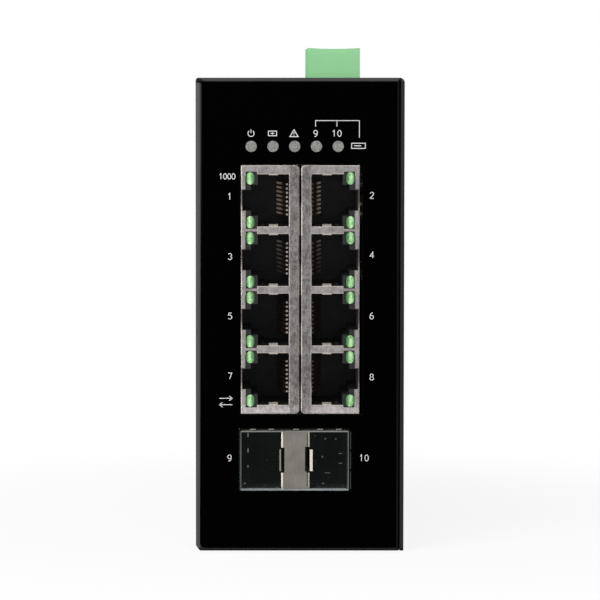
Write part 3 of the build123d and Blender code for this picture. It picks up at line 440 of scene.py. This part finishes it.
def coat_black():
    """Black powder coat: a fine orange-peel relief, a painted sheen on faces that look forwards, painted
    light on the upper and left bends and painted shade on the right and lower ones, both growing with height,
    and painted shade in two marks of the corner relief, a leaning one and a level one."""
    f = Finish("case_coat")
    cool, pale = (0.9, 0.91, 0.93), (1.1, 1.11, 1.12)
    peel = f.noise(0.4, 3)
    cloud = f.noise(9.0, 2)
    side, up = f.turned(0), f.turned(2)
    # Painted sheen: forward faces gain tone, the left and upper bends get painted light, the right and lower
    # bends get painted shade, all growing with height
    forward = f.step(f.facing(1), 0.1, 0.45)
    on_chassis = f.fall(f.along(0), CASE_RIGHT, CASE_RIGHT + 0.05)
    paler = f.step(side, -0.3, -0.05, LEFT_PAINTED_LIGHT, 0.0) + f.step(up, 0.1, 0.7, 0.0, UPPER_PAINTED_LIGHT)
    darker = (f.step(side, 0.1, 0.6, 0.0, RIGHT_PAINTED_SHADE) * on_chassis
              + f.step(up, -0.6, -0.1, LOWER_PAINTED_SHADE, 0.0))
    painted_sheen_by_height = f.step(f.along(2), *PAINTED_SHEEN_HEIGHT, 0.8, 1.05)
    tone = WALL_TONE + forward * (FORWARD_PAINTED_SHEEN + on_chassis * CHASSIS_PAINTED_SHEEN + paler - darker) * painted_sheen_by_height

    # Painted shade in the corner relief: a leaning mark and a level one darken the coat
    inwards, downwards = f.along(0) - CASE_LEFT, CASE_TOP - f.along(2)
    off_slope = abs(inwards - downwards * RELIEF_LEAN - RELIEF_START)
    slope = f.fall(off_slope, 0.25, 0.55) * f.fall(downwards, RELIEF_DOWN, RELIEF_DOWN + 0.3)
    off_level = abs(downwards - RELIEF_LEVEL)
    level = f.fall(off_level, 0.16, 0.34) * f.fall(inwards, RELIEF_LONG, RELIEF_LONG + 0.3)
    tone = tone * (1.0 - f.larger(slope, level) * RELIEF_SHADE)
    return f.done(Base_Color=f.scaled(f.blend(cloud, cool, pale), tone), Roughness=f.sheen(cloud, 0.4, 0.5),
                  Specular_IOR_Level=0.02, Normal=f.bump(peel, 0.3, 0.03))


def film_black():
    """The printed film: deep flat black with the faintest grain."""
    f = Finish("panel_film")
    black, soft_black = (0.0003, 0.0003, 0.00035), (0.0007, 0.0007, 0.0007)
    grain = f.noise(0.5, 2)
    return f.done(Base_Color=f.blend(grain, black, soft_black), Roughness=f.sheen(grain, 0.6, 0.7, WHOLE),
                  Specular_IOR_Level=0.0)


def tin_shield():
    """Tinned jack shields: upright brushing, blotches and scratches, a pale painted highlight on edges and
    folds and on the set-back faces in each socket's lower half, darker inner strips, and painted shade on the
    set-back faces above, on the side walls and on faces that look down behind the front."""
    f = Finish("tin_shield")
    dull, bright = (0.15, 0.14, 0.14), (0.40, 0.375, 0.375)
    highlight_dull, highlight_bright, highlight_dim = (0.42, 0.385, 0.34), (0.74, 0.68, 0.59), (0.25, 0.24, 0.225)
    shadow = (0.05, 0.038, 0.036)
    brush = f.noise(0.22, 3, (1, 1, 0.1))
    blotch = f.noise(0.9, 4, rough=0.65)
    scratch = f.noise(0.3, 2, (1, 1, 0.7))
    cloud = f.noise(4.5, 2)
    share = brush * 0.3 + blotch * 0.35 + scratch * 0.2 + cloud * 0.15
    from_middle = abs(f.along(0) - JACK_MID)
    past_strip = (from_middle, INNER_STRIP - STRIP_SOFT, INNER_STRIP + STRIP_SOFT)
    height = f.along(2)

    mottle = 0.5 + (f.step(share, 0.36, 0.64) - 0.5) * f.step(*past_strip, 1.2, 0.65)
    low = f.step(height, JACK_LOW + 1.2, JACK_LOW + 2.6, 1.5, 1.0)
    face = f.scaled(f.blend(mottle, dull, bright), f.step(*past_strip, 0.62, 1.0) * low)

    # Painted highlight: edges turned away from the front, and the set-back faces in each socket's lower half
    # except beside the lamps, take a pale cream colour, dimmer along the inner edges
    set_back = f.behind(SHIELD_BACK + 0.02, SHIELD_BACK + 0.05)
    in_row = f.node("Math", {0: (height - JACK_LOW) * (1 / PORT_PITCH)}, operation="FRACT")
    lower = f.step(in_row, 0.4, 0.6, 0.75, 0.1)
    lamp_edge = JACK_HALF - LAMP_STRIP
    beside_lamps = f.step(from_middle, lamp_edge - 0.1, lamp_edge + 0.1, 1.0, 0.15)
    rim = f.larger(f.fall(f.facing(1), 0.75, 0.97), set_back * lower * beside_lamps)
    inner_edge = f.fall(abs(from_middle - INNER_STRIP), 0.5, 0.8)
    painted_highlight = f.blend(inner_edge * 0.6, f.blend(f.noise(1.6, 2), highlight_dull, highlight_bright), highlight_dim)

    # Painted shade: faces that look down, the set-back faces in each socket's upper half and the side walls
    # behind the front take the shadow colour
    under = f.fall(f.turned(2), -0.35, -0.08) * f.step(height, JACK_LOW + 0.5, JACK_LOW + 1.0)
    wall = f.step(from_middle, JACK_HALF - SIDE_WALL, JACK_HALF - SIDE_WALL + 0.2)
    wall = wall * f.behind(SHIELD_BACK + 0.25, SHIELD_BACK + 0.45)
    shade = f.larger(f.larger(under, set_back * (1.0 - lower)), wall)
    return f.done(Base_Color=f.blend(shade, f.blend(rim, face, painted_highlight), shadow), Metallic=1.0 - rim * 0.8,
                  Roughness=f.sheen(blotch, 0.3, 0.45), Normal=f.bump(share, 0.3, 0.03))


def cage_steel():
    """The module cage: a painted highlight on cut edges and folds, a warm grey face, a pale border with a
    dark outline, the painted shadow of the right latch, and painted shade on the walls behind the front, with
    painted glints here and there and a faint painted glow in the depth."""
    f = Finish("cage_steel")
    dull, bright, shadow = (0.158, 0.148, 0.133), (0.203, 0.192, 0.174), (0.01, 0.01, 0.01)
    border_dull, border_bright, outline = (0.20, 0.215, 0.215), (0.30, 0.315, 0.32), (0.02, 0.02, 0.022)
    highlight_low, highlight_high, highlight_right = (0.38, 0.42, 0.45), (0.85, 0.79, 0.68), (0.17, 0.175, 0.18)
    wall, glint_speck = (0.016, 0.018, 0.0185), (0.3, 0.3, 0.27)
    glow_dark, glow_pale = (0.0035, 0.0042, 0.004), (0.006, 0.0072, 0.007)
    grain = f.noise(0.3, 3, (1, 1, 0.15))
    cloud = f.noise(5.0, 2)
    across, height = f.along(0), f.along(2)

    half = (CAGE_RIGHT - CAGE_LEFT) / 2
    outer = f.step(abs(across - (CAGE_RIGHT - half)), half - BORDER_WIDE, half - BORDER_WIDE + 0.1)
    above = f.step(height, CAGE_TOP - BORDER_HIGH, CAGE_TOP - BORDER_HIGH + 0.08)
    border = f.blend(f.larger(outer, above), f.blend(cloud, border_dull, border_bright), outline)

    # Painted highlight: edges turned away from the front take a pale colour, bluish at the bottom and duller
    # on the right
    edge = f.blend(f.step(height, CAGE_LOW + 0.5, CAGE_LOW + 0.9), highlight_low, highlight_high)
    edge = f.blend(f.step(across, CAGE_RIGHT - 0.9, CAGE_RIGHT - 0.7), edge, highlight_right)
    rim = f.fall(f.facing(1), 0.7, 0.985)
    mottle = f.step(grain * 0.5 + cloud * 0.5, 0.3, 0.7)
    plate = f.blend(rim, f.blend(mottle, dull, bright), edge)
    by_latch = f.fall(abs(height - LATCH_MID), LATCH_HALF - 0.1, LATCH_HALF)
    plate = f.blend(by_latch * f.step(across, LATCH_SHADE, LATCH_SHADE + 0.08), plate, shadow)

    front = f.blend(f.behind(*SHELL_DEPTH, 1.0, 0.0), plate, border)
    # Painted shade: the walls darken behind the front, with random painted glint specks, and a faint painted
    # glow lifts the depth
    deep = f.behind(*CAGE_DEPTH)
    inner = f.blend(f.step(f.cells(0.42, (1, 0.4, 2.0)), 0.975, 0.985), wall, glint_speck)
    painted_glow = f.blend(deep, BLACK, f.blend(cloud, glow_dark, glow_pale))
    return f.done(Base_Color=f.blend(deep, front, inner), Metallic=1.0 - rim * 0.8,
                  Roughness=f.sheen(cloud, 0.32, 0.44), Normal=f.bump(grain, 0.25, 0.02),
                  Emission_Color=painted_glow, Emission_Strength=1.0)


def spring_steel():
    """Spring sheet: bright in front above the slots, with painted shade below and beside them, on the left
    latch's lee side and where it runs back inside."""
    f = Finish("spring_steel")
    dull, bright, shadow = (0.26, 0.242, 0.205), (0.38, 0.355, 0.305), (0.03, 0.03, 0.03)
    patch = f.noise(1.2, 3)
    across = f.along(0)
    # Painted shade: below the cage, beside it, on the left latch's lee side and in the depth
    below = f.fall(f.along(2), CAGE_LOW - 0.1, CAGE_LOW)
    beside = f.step(across, CAGE_RIGHT - 0.05, CAGE_RIGHT + 0.02)
    lee = f.step(across, LATCH_LEE, LATCH_LEE + 0.07) * f.fall(across, LATCH_END, LATCH_END + 0.1)
    dark = f.larger(f.behind(*SPRING_DEPTH), f.larger(below, f.larger(beside, lee) * 0.9))
    return f.done(Base_Color=f.blend(dark, f.blend(patch, dull, bright), shadow), Metallic=1.0,
                  Roughness=f.sheen(patch, 0.4, 0.55))


def metal(name, low, high, mottle=3.0, grain=0.15, rough=(0.3, 0.45), along=(1, 1, 0.12)):
    """Plain metal: fine grain, soft mottling and a faint relief."""
    f = Finish(name)
    streak = f.noise(grain, 3, along)
    patch = f.noise(mottle, 3, rough=0.6)
    share = streak * 0.5 + patch * 0.5
    return f.done(Base_Color=f.blend(f.step(share, 0.3, 0.7), low, high), Metallic=1.0,
                  Roughness=f.sheen(patch, *rough), Normal=f.bump(share, 0.25, 0.02))


def moulding(name, low, high, rough=(0.4, 0.55), level=0.3):
    """Moulded plastic: slight tone and sheen changes and a fine texture."""
    f = Finish(name)
    cloud = f.noise(2.5, 3)
    texture = f.noise(0.12, 1)
    return f.done(Base_Color=f.blend(cloud, low, high), Roughness=f.sheen(cloud, *rough),
                  Normal=f.bump(texture, 0.2, 0.01), Specular_IOR_Level=level)


def black_moulding():
    """The jack housings and the other black mouldings: dark grey at the front lip and nearly black in the
    depth, which is painted shade, with a faint painted glow in the upper sockets and an even one at the back
    of the module slots."""
    f = Finish("black_moulding")
    lip, depth = (0.013, 0.013, 0.0145), (0.007, 0.007, 0.0075)
    glow_dark, glow_pale = (0.0008, 0.0008, 0.0009), (0.0045, 0.0045, 0.0045)
    slot_glow = (0.0045, 0.0054, 0.0052)
    cloud = f.noise(2.5, 3)
    # Painted shade deepens the sockets; a painted glow, stronger in the upper sockets, lifts them, and an
    # even one lifts the back of the module slots
    deep = f.behind(*LIP_DEPTH)
    upper = f.step(f.along(2), *GLOW_HEIGHT, 0.25, 1.0)
    painted_glow = f.blend(f.step(cloud, 0.35, 0.7) * upper, glow_dark, glow_pale)
    painted_glow = f.blend(f.behind(*SLOT_DEPTH), painted_glow, slot_glow)
    return f.done(Base_Color=f.blend(deep, lip, depth), Roughness=f.sheen(cloud, 0.42, 0.6),
                  Specular_IOR_Level=0.2, Normal=f.bump(f.noise(0.15, 1), 0.2, 0.01),
                  Emission_Color=f.blend(deep, BLACK, painted_glow), Emission_Strength=1.0)


def frosted():
    """Frosted light-pipe ends: grey with fine pale and dark speckle."""
    f = Finish("frosted_pipe")
    dark, pale = (0.075, 0.077, 0.073), (0.24, 0.248, 0.233)
    speck = f.cells(0.17)
    mottle = f.step(speck * 0.6 + f.noise(0.5, 2) * 0.4, 0.15, 0.85)
    return f.done(Base_Color=f.blend(mottle, dark, pale), Roughness=f.sheen(speck, 0.5, 0.8, WHOLE),
                  Normal=f.bump(speck, 0.4, 0.03))


def green_pipe():
    """Green light pipes: a dark rim of painted shade, cloudy pale green inside, a painted highlight streak
    near the middle.
    """
    f = Finish("green_pipe")
    deep, pale, outside = (0.055, 0.22, 0.065), (0.22, 0.42, 0.16), (0.03, 0.14, 0.04)
    streak_highlight, rim_shade = (0.38, 0.60, 0.33), (0.012, 0.07, 0.02)
    cloud = f.noise(0.75, 3, rough=0.6)
    from_axis = abs(abs(f.along(0) - JACK_MID) - (JACK_HALF - LAMP_IN + LAMP_HIGHLIGHT_OUT))
    # Painted highlight: a pale streak just outside the lamp's middle; painted shade: a dark rim where the
    # surface turns away
    streak = f.fall(from_axis, 0.1, 0.5) * f.step(f.noise(0.9, 1), 0.3, 0.6)
    body = f.blend(f.step(cloud, 0.35, 0.62), deep, pale)
    body = f.blend(f.step(from_axis, 0.4, 0.85), body, outside)
    colour = f.blend(f.fall(f.facing(1), 0.3, 0.9), f.blend(streak, body, streak_highlight), rim_shade)
    return f.done(Base_Color=colour, Roughness=f.sheen(cloud, 0.2, 0.35), Coat_Weight=0.15,
                  Emission_Color=colour, Emission_Strength=0.06, Normal=f.bump(cloud, 0.4, 0.06))


def board_mask():
    """Green board lacquer with faint tracks under it."""
    f = Finish("board_green")
    lacquer, over_track = (0.012, 0.10, 0.035), (0.03, 0.19, 0.07)
    track = f.node("TexBrick", {"Vector": f.place(), "Scale": 0.5, "Mortar Size": 0.12}, out="Fac")
    return f.done(Base_Color=f.blend(track, lacquer, over_track),
                  Roughness=f.sheen(f.noise(1.5), 0.25, 0.4, WHOLE), Normal=f.bump(track, 0.3, 0.03))


def gold():
    """Plated spring contacts: dark flanks of painted shade, a painted highlight on the bent tips, brightest
    in the left column, and brown painted glints that fade in the lower sockets; all of it glows faintly as
    painted light."""
    f = Finish("gold_contact")
    flank_shade, glint_brown, pale = (0.025, 0.014, 0.012), (0.74, 0.61, 0.50), (0.32, 0.30, 0.27)
    # Painted highlight on the forward tips, brightest in the left column, and painted glints in the depth
    # that fade lower down; the rest is painted shade, and the emission is painted light
    ahead = f.step(f.facing(1), 0.93, 0.99)
    left = f.step(f.along(0), JACK_MID - 0.5, JACK_MID, 1.0, 0.12)
    glint = f.behind(*GLINT_DEPTH) * f.step(f.along(2), *GLINT_HEIGHT)
    tip = f.behind(*TIP_HIGHLIGHT_END, 1.0, 0.0) * ahead * left
    colour = f.blend(tip, f.blend(glint, flank_shade, glint_brown), pale)
    return f.done(Base_Color=colour, Metallic=0.5, Roughness=f.sheen(f.noise(0.6, 3), 0.3, 0.45),
                  Emission_Color=colour, Emission_Strength=0.12)


def print_white():
    """White screen print with a slightly uneven film of ink."""
    f = Finish("print_white")
    thin, full = (0.48, 0.48, 0.48), (0.66, 0.66, 0.66)
    ink = f.noise(0.25, 2)
    return f.done(Base_Color=f.blend(ink, thin, full), Roughness=f.sheen(ink, 0.5, 0.65, WHOLE))


def lug_bright():
    """Small weld lugs inside the module slots: pale steel with a painted glow, so that they still show in the
    depth.
    """
    f = Finish("lug_bright")
    dull, bright = (0.10, 0.10, 0.095), (0.26, 0.26, 0.24)
    worn = f.noise(0.5, 2)
    # Painted glow: the emission keeps the lugs bright in the depth
    colour = f.blend(worn, dull, bright)
    return f.done(Base_Color=colour, Metallic=0.4, Roughness=f.sheen(worn, 0.35, 0.5),
                  Emission_Color=colour, Emission_Strength=0.5)


MATERIALS = {
    "case_coat": coat_black(),
    "panel_film": film_black(),
    "black_screw": metal("black_screw", (0.02, 0.02, 0.022), (0.05, 0.05, 0.052)),
    "zinc": metal("zinc", (0.45, 0.45, 0.44), (0.66, 0.66, 0.65),
                  mottle=1.6, grain=0.2, rough=(0.25, 0.42), along=(1, 1, 1)),
    "tin_shield": tin_shield(),
    "cage_steel": cage_steel(),
    "spring_steel": spring_steel(),
    "gold_contact": gold(),
    "black_moulding": black_moulding(),
    "green_pipe": green_pipe(),
    "frosted_pipe": frosted(),
    "board_green": board_mask(),
    "chip_black": moulding("chip_black", (0.015, 0.015, 0.015), (0.03, 0.03, 0.03)),
    "lamp_white": moulding("lamp_white", (0.6, 0.6, 0.5), (0.8, 0.8, 0.72), rough=(0.3, 0.4)),
    "sink_black": metal("sink_black", (0.03, 0.03, 0.033), (0.07, 0.07, 0.075)),
    "can_silver": metal("can_silver", (0.5, 0.5, 0.5), (0.7, 0.7, 0.7)),
    "relay_blue": moulding("relay_blue", (0.03, 0.07, 0.2), (0.05, 0.1, 0.27)),
    "terminal_green": moulding("terminal_green", (0.25, 0.55, 0.27), (0.28, 0.59, 0.30),
                               rough=(0.5, 0.65), level=0.15),
    "clip_steel": metal("clip_steel", (0.42, 0.42, 0.41), (0.62, 0.62, 0.6), mottle=4.0),
    "print_white": print_white(),
    "lug_bright": lug_bright(),
    "drive_dark": moulding("drive_dark", (0.004, 0.004, 0.0045), (0.011, 0.011, 0.012),
                           rough=(0.5, 0.65), level=0.1),
}


def dress_nodes():
    """Gives every CAD node the procedural material of its slot."""
    for part in frame["record"]["subparts"]:
        mesh = frame["nodes"][part["node"]].data
        mesh.materials.clear()
        mesh.materials.append(MATERIALS[part["material_slot"]])


def piece(name, points, faces, material, body="switch"):
    """A new mesh piece at the origin, which rides on a body, if one is named."""
    mesh = bpy.data.meshes.new(name)
    mesh.from_pydata((points * MM).tolist(), [], faces)
    mesh.materials.append(MATERIALS[material])
    made = bpy.data.objects.new(name, mesh)
    bpy.context.scene.collection.objects.link(made)
    if body:
        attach(made, body)
    return made


def arc_points(x, z, wide, high, start, end, steps):
    """Points on an arc: its centre plus its two radii times the cosine and the sine of each angle."""
    turn = np.radians(np.linspace(start, end, steps))
    return np.stack([x + wide * np.cos(turn), z + high * np.sin(turn)], axis=1)


class Print:
    """White print on the film, gathered across and up and made into one thin piece."""

    def __init__(self):
        self.flats = []
        self.faces = []
        self.count = 0

    def line(self, points, width=PRINT_STROKE, closed=False):
        """A stroke of even width through the points: each corner moves both ways along the mean normal of its
        two edges, by half the width over the cosine between that normal and its edge's own."""
        points = np.asarray(points, float)
        ahead = np.roll(points, -1, axis=0) - points
        behind = np.roll(ahead, 1, axis=0)
        if not closed:
            ahead[-1], behind[0] = behind[-1], ahead[0]
        ahead /= np.linalg.norm(ahead, axis=1, keepdims=True)
        behind /= np.linalg.norm(behind, axis=1, keepdims=True)
        normal = np.stack([-(ahead + behind)[:, 1], (ahead + behind)[:, 0]], axis=1)
        normal /= np.linalg.norm(normal, axis=1, keepdims=True)
        cosine = np.abs(normal[:, 1] * ahead[:, 0] - normal[:, 0] * ahead[:, 1])
        offset = normal * (width / 2 / np.maximum(cosine, LEAST_COSINE))[:, None]
        count = len(points)
        near = np.arange(count if closed else count - 1)
        far = (near + 1) % count
        self.flats.append(np.concatenate([points + offset, points - offset]))
        self.faces.append(np.stack([near, far, count + far, count + near], axis=1) + self.count)
        self.count += 2 * count

    def box(self, middle, wide, high):
        """A closed box round a point: its corners are the point plus and minus a half width and height."""
        corners = np.array([(-wide, -high), (wide, -high), (wide, high), (-wide, high)])
        self.line(middle + corners, closed=True)

    def upright(self, middle, low, high, width=PRINT_STROKE):
        """An upright stroke between two heights over a point."""
        self.line([middle + (0, low), middle + (0, high)], width)

    def level(self, middle, left, right):
        """A level stroke between two places beside a point."""
        self.line([middle + (left, 0), middle + (right, 0)])

    def number(self, text, middle, height):
        """Plain stroke digits side by side, centred on a point, closer in long numbers: each one's points on
        its unit field times the height less a stroke's width, plus its place."""
        step = height * (DIGIT_STEP if len(text) < 3 else LONG_STEP)
        start = middle[0] - step * (len(text) - 1) / 2
        for i, digit in enumerate(text):
            place = np.array([start + i * step, middle[1]])
            for stroke in DIGITS[digit]:
                shape = arc_points(*stroke, ARC_STEPS) if isinstance(stroke, Arc) else np.array(stroke)
                self.line(place + shape * (height - PRINT_STROKE))


def numbers(ink):
    """The numbers, and the bracket over the two module lamps."""
    for text, px, py, height in NUMBERS:
        ink.number(text, on_front(px, py), height * MM_PER_PX)
    ink.line([on_front(BRACKET_LEFT, BRACKET_SHORT), on_front(BRACKET_LEFT, BRACKET_TOP),
              on_front(BRACKET_RIGHT, BRACKET_TOP), on_front(BRACKET_RIGHT, BRACKET_LONG)], BRACKET_STROKE)
    ink.line([on_front(BRACKET_MIDDLE, BRACKET_SHORT), on_front(BRACKET_MIDDLE, BRACKET_TOP)],
             BRACKET_STROKE)


def signs(ink):
    """Plain signs: power, spare supply, alarm and module by the lamps, and link beside the last sockets."""
    power = on_front(*SIGN_POWER)
    ink.line(arc_points(*power, POWER_R, POWER_R, *POWER_TURN, SIGN_STEPS))
    ink.upright(power, *POWER_BAR)

    spare = on_front(*SIGN_SPARE)
    ink.box(spare, *SPARE_HALF)
    ink.level(spare, -PLUS_HALF[0], PLUS_HALF[0])
    ink.upright(spare, -PLUS_HALF[1], PLUS_HALF[1])

    alarm = on_front(*SIGN_ALARM)
    ink.line([alarm + (-ALARM_HALF, ALARM_FOOT), alarm + (ALARM_HALF, ALARM_FOOT), alarm + (0, ALARM_HEAD)],
             ALARM_STROKE, closed=True)
    ink.upright(alarm, *ALARM_BAR, ALARM_STROKE)
    ink.upright(alarm, *ALARM_DOT, ALARM_STROKE)

    module = on_front(*SIGN_MODULE)
    ink.box(module, *MODULE_HALF)
    ink.level(module, *MODULE_BAR)

    for side in (-1, 1):
        tip = on_front(*SIGN_LINK) + np.array(ARROW_HALF) * side
        ink.level(tip, -2 * ARROW_HALF[0] * side, 0)
        barb = -ARROW_BARB[0] * side
        ink.line([tip + (barb, ARROW_BARB[1]), tip, tip + (barb, -ARROW_BARB[1])])


def legends():
    """All the print as one thin piece: its flat points lie half its thickness before the film, and Solidify
    spreads it evenly to both sides."""
    ink = Print()
    numbers(ink)
    signs(ink)
    flat = np.concatenate(ink.flats)
    depth = np.full(len(flat), FRONT - PRINT_LIFT / 2)
    made = piece("panel_print", np.stack([flat[:, 0], depth, flat[:, 1]], axis=1),
                 np.concatenate(ink.faces).tolist(), "print_white")
    skin = made.modifiers.new("film", "SOLIDIFY")
    skin.thickness, skin.offset = PRINT_LIFT * MM, 0


def flat_boxes(feet, wide, high, facing, thick):
    """Thin boxes on surfaces: four corners are each foot plus and minus its two half edges, and four more are
    the same moved out along its normal."""
    foot = np.stack([feet - wide - high, feet + wide - high, feet + wide + high, feet - wide + high], axis=1)
    head = foot + facing[:, None, :] * thick
    points = np.concatenate([foot, head], axis=1).reshape(-1, 3)
    box = np.array([(3, 2, 1, 0), (4, 5, 6, 7), (0, 1, 5, 4), (1, 2, 6, 5), (2, 3, 7, 6), (3, 0, 4, 7)])
    outside = (np.cross(wide, high) * facing).sum(axis=1) > 0
    faces = np.where(outside[:, None, None], box[None], box[None, :, ::-1])
    return points, (faces + np.arange(len(feet))[:, None, None] * 8).reshape(-1, 4).tolist()


def lugs():
    """Small flat lugs inside the module slots: each lies flat on the wall that the ray through its pixel
    meets. One half edge runs across, or backwards on a side wall, and is half the lug's width. The other lies
    at right angles to it, and is half its height over the cosine between the ray and the wall's normal."""
    x, z = on_front(LUGS[:, 0], LUGS[:, 1])
    near = np.stack([x, np.full(len(LUGS), FRONT), z], axis=1)
    rays = near * MM - np.array(SPOT)
    graph = bpy.context.evaluated_depsgraph_get()
    hits = [bpy.context.scene.ray_cast(graph, SPOT, Vector(ray)) for ray in rays]
    spots = np.array([tuple(hit[1]) for hit in hits]) / MM
    facing = np.array([tuple(hit[2]) for hit in hits])
    rays /= np.linalg.norm(rays, axis=1, keepdims=True)
    facing *= -np.sign((facing * rays).sum(axis=1, keepdims=True))
    across = np.tile(RIGHT, (len(LUGS), 1))
    across[np.abs(facing[:, 0]) > SIDE_FACING] = BACK
    slant = np.minimum(1 / np.abs((facing * rays).sum(axis=1)), MOST_SLANT)
    wide = (LUGS[:, 2] / 2 * MM_PER_PX)[:, None] * across
    high = (LUGS[:, 3] / 2 * MM_PER_PX * slant)[:, None] * np.cross(facing, across)
    piece("slot_lugs", *flat_boxes(spots, wide, high, facing, LUG_THICK), "lug_bright")


def drives(name, middles, facing):
    """Cross drives on screw heads as painted shade, flat dark boxes that stand for the shaded recess: at each
    head's middle one long flat box lies level and another stands upright."""
    # Painted shade: each drive's recess is a flat dark cross
    feet = np.repeat(np.array(middles), 2, axis=0)
    lying = (np.arange(len(feet)) % 2 == 0)[:, None]
    wide = np.cross(facing, UP) * np.where(lying, *DRIVE_HALF)
    high = np.array(UP) * np.where(lying, *DRIVE_HALF[::-1])
    normals = np.tile(facing, (len(feet), 1))
    piece(name, *flat_boxes(feet, wide, high, normals, DRIVE_THICK), "drive_dark")


def screw_drives():
    """The cross drives of the rail bracket's, the ground and the cover's screws: the screws' middles are
    worked out from the nodes' boxes."""
    low, high = in_mm(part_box("bracket_screws"))
    middle = (low[0] + high[0]) / 2
    radius = (high[0] - low[0]) / 2 - BRACKET_SCREW
    drives("bracket_drives", [(middle + side * BRACKET_SCREW, high[1], z) for side in (-1, 1)
                              for z in (low[2] + radius, high[2] - radius)], BACK)

    low, high = in_mm(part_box("ground_screw"))
    drives("ground_drive", [((low[0] + high[0]) / 2, high[1], (low[2] + high[2]) / 2)], BACK)

    face = in_mm(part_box("cover_screws"))[1][0]
    near, far = CASE_LOW[1] + COVER_INSET, CASE_HIGH[1] - COVER_INSET
    third = (CASE_HIGH[1] - CASE_LOW[1]) / 3
    bottom, top = CASE_LOW[2] + COVER_INSET, CASE_TOP - COVER_INSET
    places = [(face, y, (bottom + top) / 2) for y in (near, far)]
    places += [(face, CASE_LOW[1] + third * k, z) for k in (1, 2) for z in (bottom, top)]
    drives("cover_drives", places, RIGHT)


def return_spring():
    """The spring between the bracket's lug and the catch's, a round wire on a helix. The wire's middle is
    the axis plus the coil's radius times the cosine and sine of the turn, and its height is the share of all
    turns less a sine of it, so that the pitch is widest halfway. Round it stands a ring, the wire's radius
    times the cosine outwards and times the sine upwards. It takes the plain coil's place."""
    low, high = in_mm(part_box("catch_spring"))
    middle = (low + high) / 2
    share = np.linspace(0, 1, SPRING_TURNS * SPRING_STEPS + 1)[:, None]
    turn = 2 * math.pi * SPRING_TURNS * share
    ring = np.linspace(0, 2 * math.pi, WIRE_SIDES, endpoint=False)[None]
    reach = (high[0] - low[0]) / 2 - WIRE_R + WIRE_R * np.cos(ring)
    rise = share - PITCH_OPENS * np.sin(2 * math.pi * share) / (2 * math.pi)
    height = low[2] + WIRE_R + rise * (high[2] - low[2] - 2 * WIRE_R) + WIRE_R * np.sin(ring)
    points = np.stack([middle[0] + reach * np.cos(turn), middle[1] + reach * np.sin(turn), height], axis=2)

    rows, side = np.meshgrid(np.arange(len(share) - 1), np.arange(WIRE_SIDES), indexing="ij")
    here, over = rows * WIRE_SIDES, (side + 1) % WIRE_SIDES
    walls = np.stack([here + side, here + WIRE_SIDES + side, here + WIRE_SIDES + over, here + over], axis=2)
    first = np.arange(WIRE_SIDES)
    last = (len(share) - 1) * WIRE_SIDES + first[::-1]
    faces = walls.reshape(-1, 4).tolist() + [first.tolist(), last.tolist()]

    made = piece("return_spring", points.reshape(-1, 3), faces, "zinc", body=None)
    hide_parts("catch_spring")
    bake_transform(made)


def white_rays(f):
    """One for the rays that show the background: from the camera, or mirrored or let through by a piece."""
    seen = f.node("LightPath", out="Is Camera Ray")
    for ray in ("Is Glossy Ray", "Is Transmission Ray"):
        seen = f.larger(seen, f.node("LightPath", out=ray))
    return seen


def lay_floor():
    """A pale floor that turns white away from the object, where the camera or a reflection sees it."""
    f = Finish("floor")
    away = f.node("VectorMath", {0: f.node("TexCoord", out="Object")}, out="Value", operation="LENGTH")
    share = f.step(away, FLOOR_NEAR, FLOOR_FAR, FLOOR_SHARE, 1.0)
    pale = f.node("BsdfDiffuse", {"Color": (FLOOR_GREY, FLOOR_GREY, FLOOR_GREY)})
    white = f.node("Emission", {"Color": WHITE, "Strength": 1.0})
    mixed = f.node("MixShader", {0: white_rays(f) * share, 1: pale, 2: white})
    f.put(f.tree.nodes["Material Output"].inputs["Surface"], mixed)
    side, low = FLOOR_HALF, CASE_LOW[2] * MM - FLOOR_DROP
    mesh = bpy.data.meshes.new("floor")
    mesh.from_pydata([(-side, -side, low), (side, -side, low), (side, side, low), (-side, side, low)], [],
                     [(0, 1, 2, 3)])
    mesh.materials.append(f.material)
    floor = bpy.data.objects.new("floor", mesh)
    bpy.context.scene.collection.objects.link(floor)


def fill_world():
    """A plain world, white where the camera or a reflection sees it, and dimmer as a light."""
    world = bpy.data.worlds.new("studio")
    bpy.context.scene.world = world
    world.use_nodes = True
    sky = Graph(world.node_tree)
    background = sky.tree.nodes["Background"]
    sky.put(background.inputs["Color"], WHITE)
    sky.put(background.inputs["Strength"], sky.step(white_rays(sky), 0, 1, WORLD_FILL, 1.0))


def hang_lamp(name, place, aim, power):
    """A soft square lamp that faces a point."""
    lamp = bpy.data.lights.new(name, "AREA")
    lamp.shape = "SQUARE"
    lamp.size = LAMP_SIZE
    lamp.energy = power
    made = bpy.data.objects.new(name, lamp)
    bpy.context.scene.collection.objects.link(made)
    made.location = place
    made.rotation_euler = (Vector(aim) - Vector(place)).to_track_quat("-Z", "Y").to_euler()


place_camera()
dress_nodes()
legends()
screw_drives()
return_spring()
lugs()
lay_floor()
fill_world()
for settings in LAMPS:
    hang_lamp(*settings)
bpy.context.scene.view_settings.view_transform = "Standard"
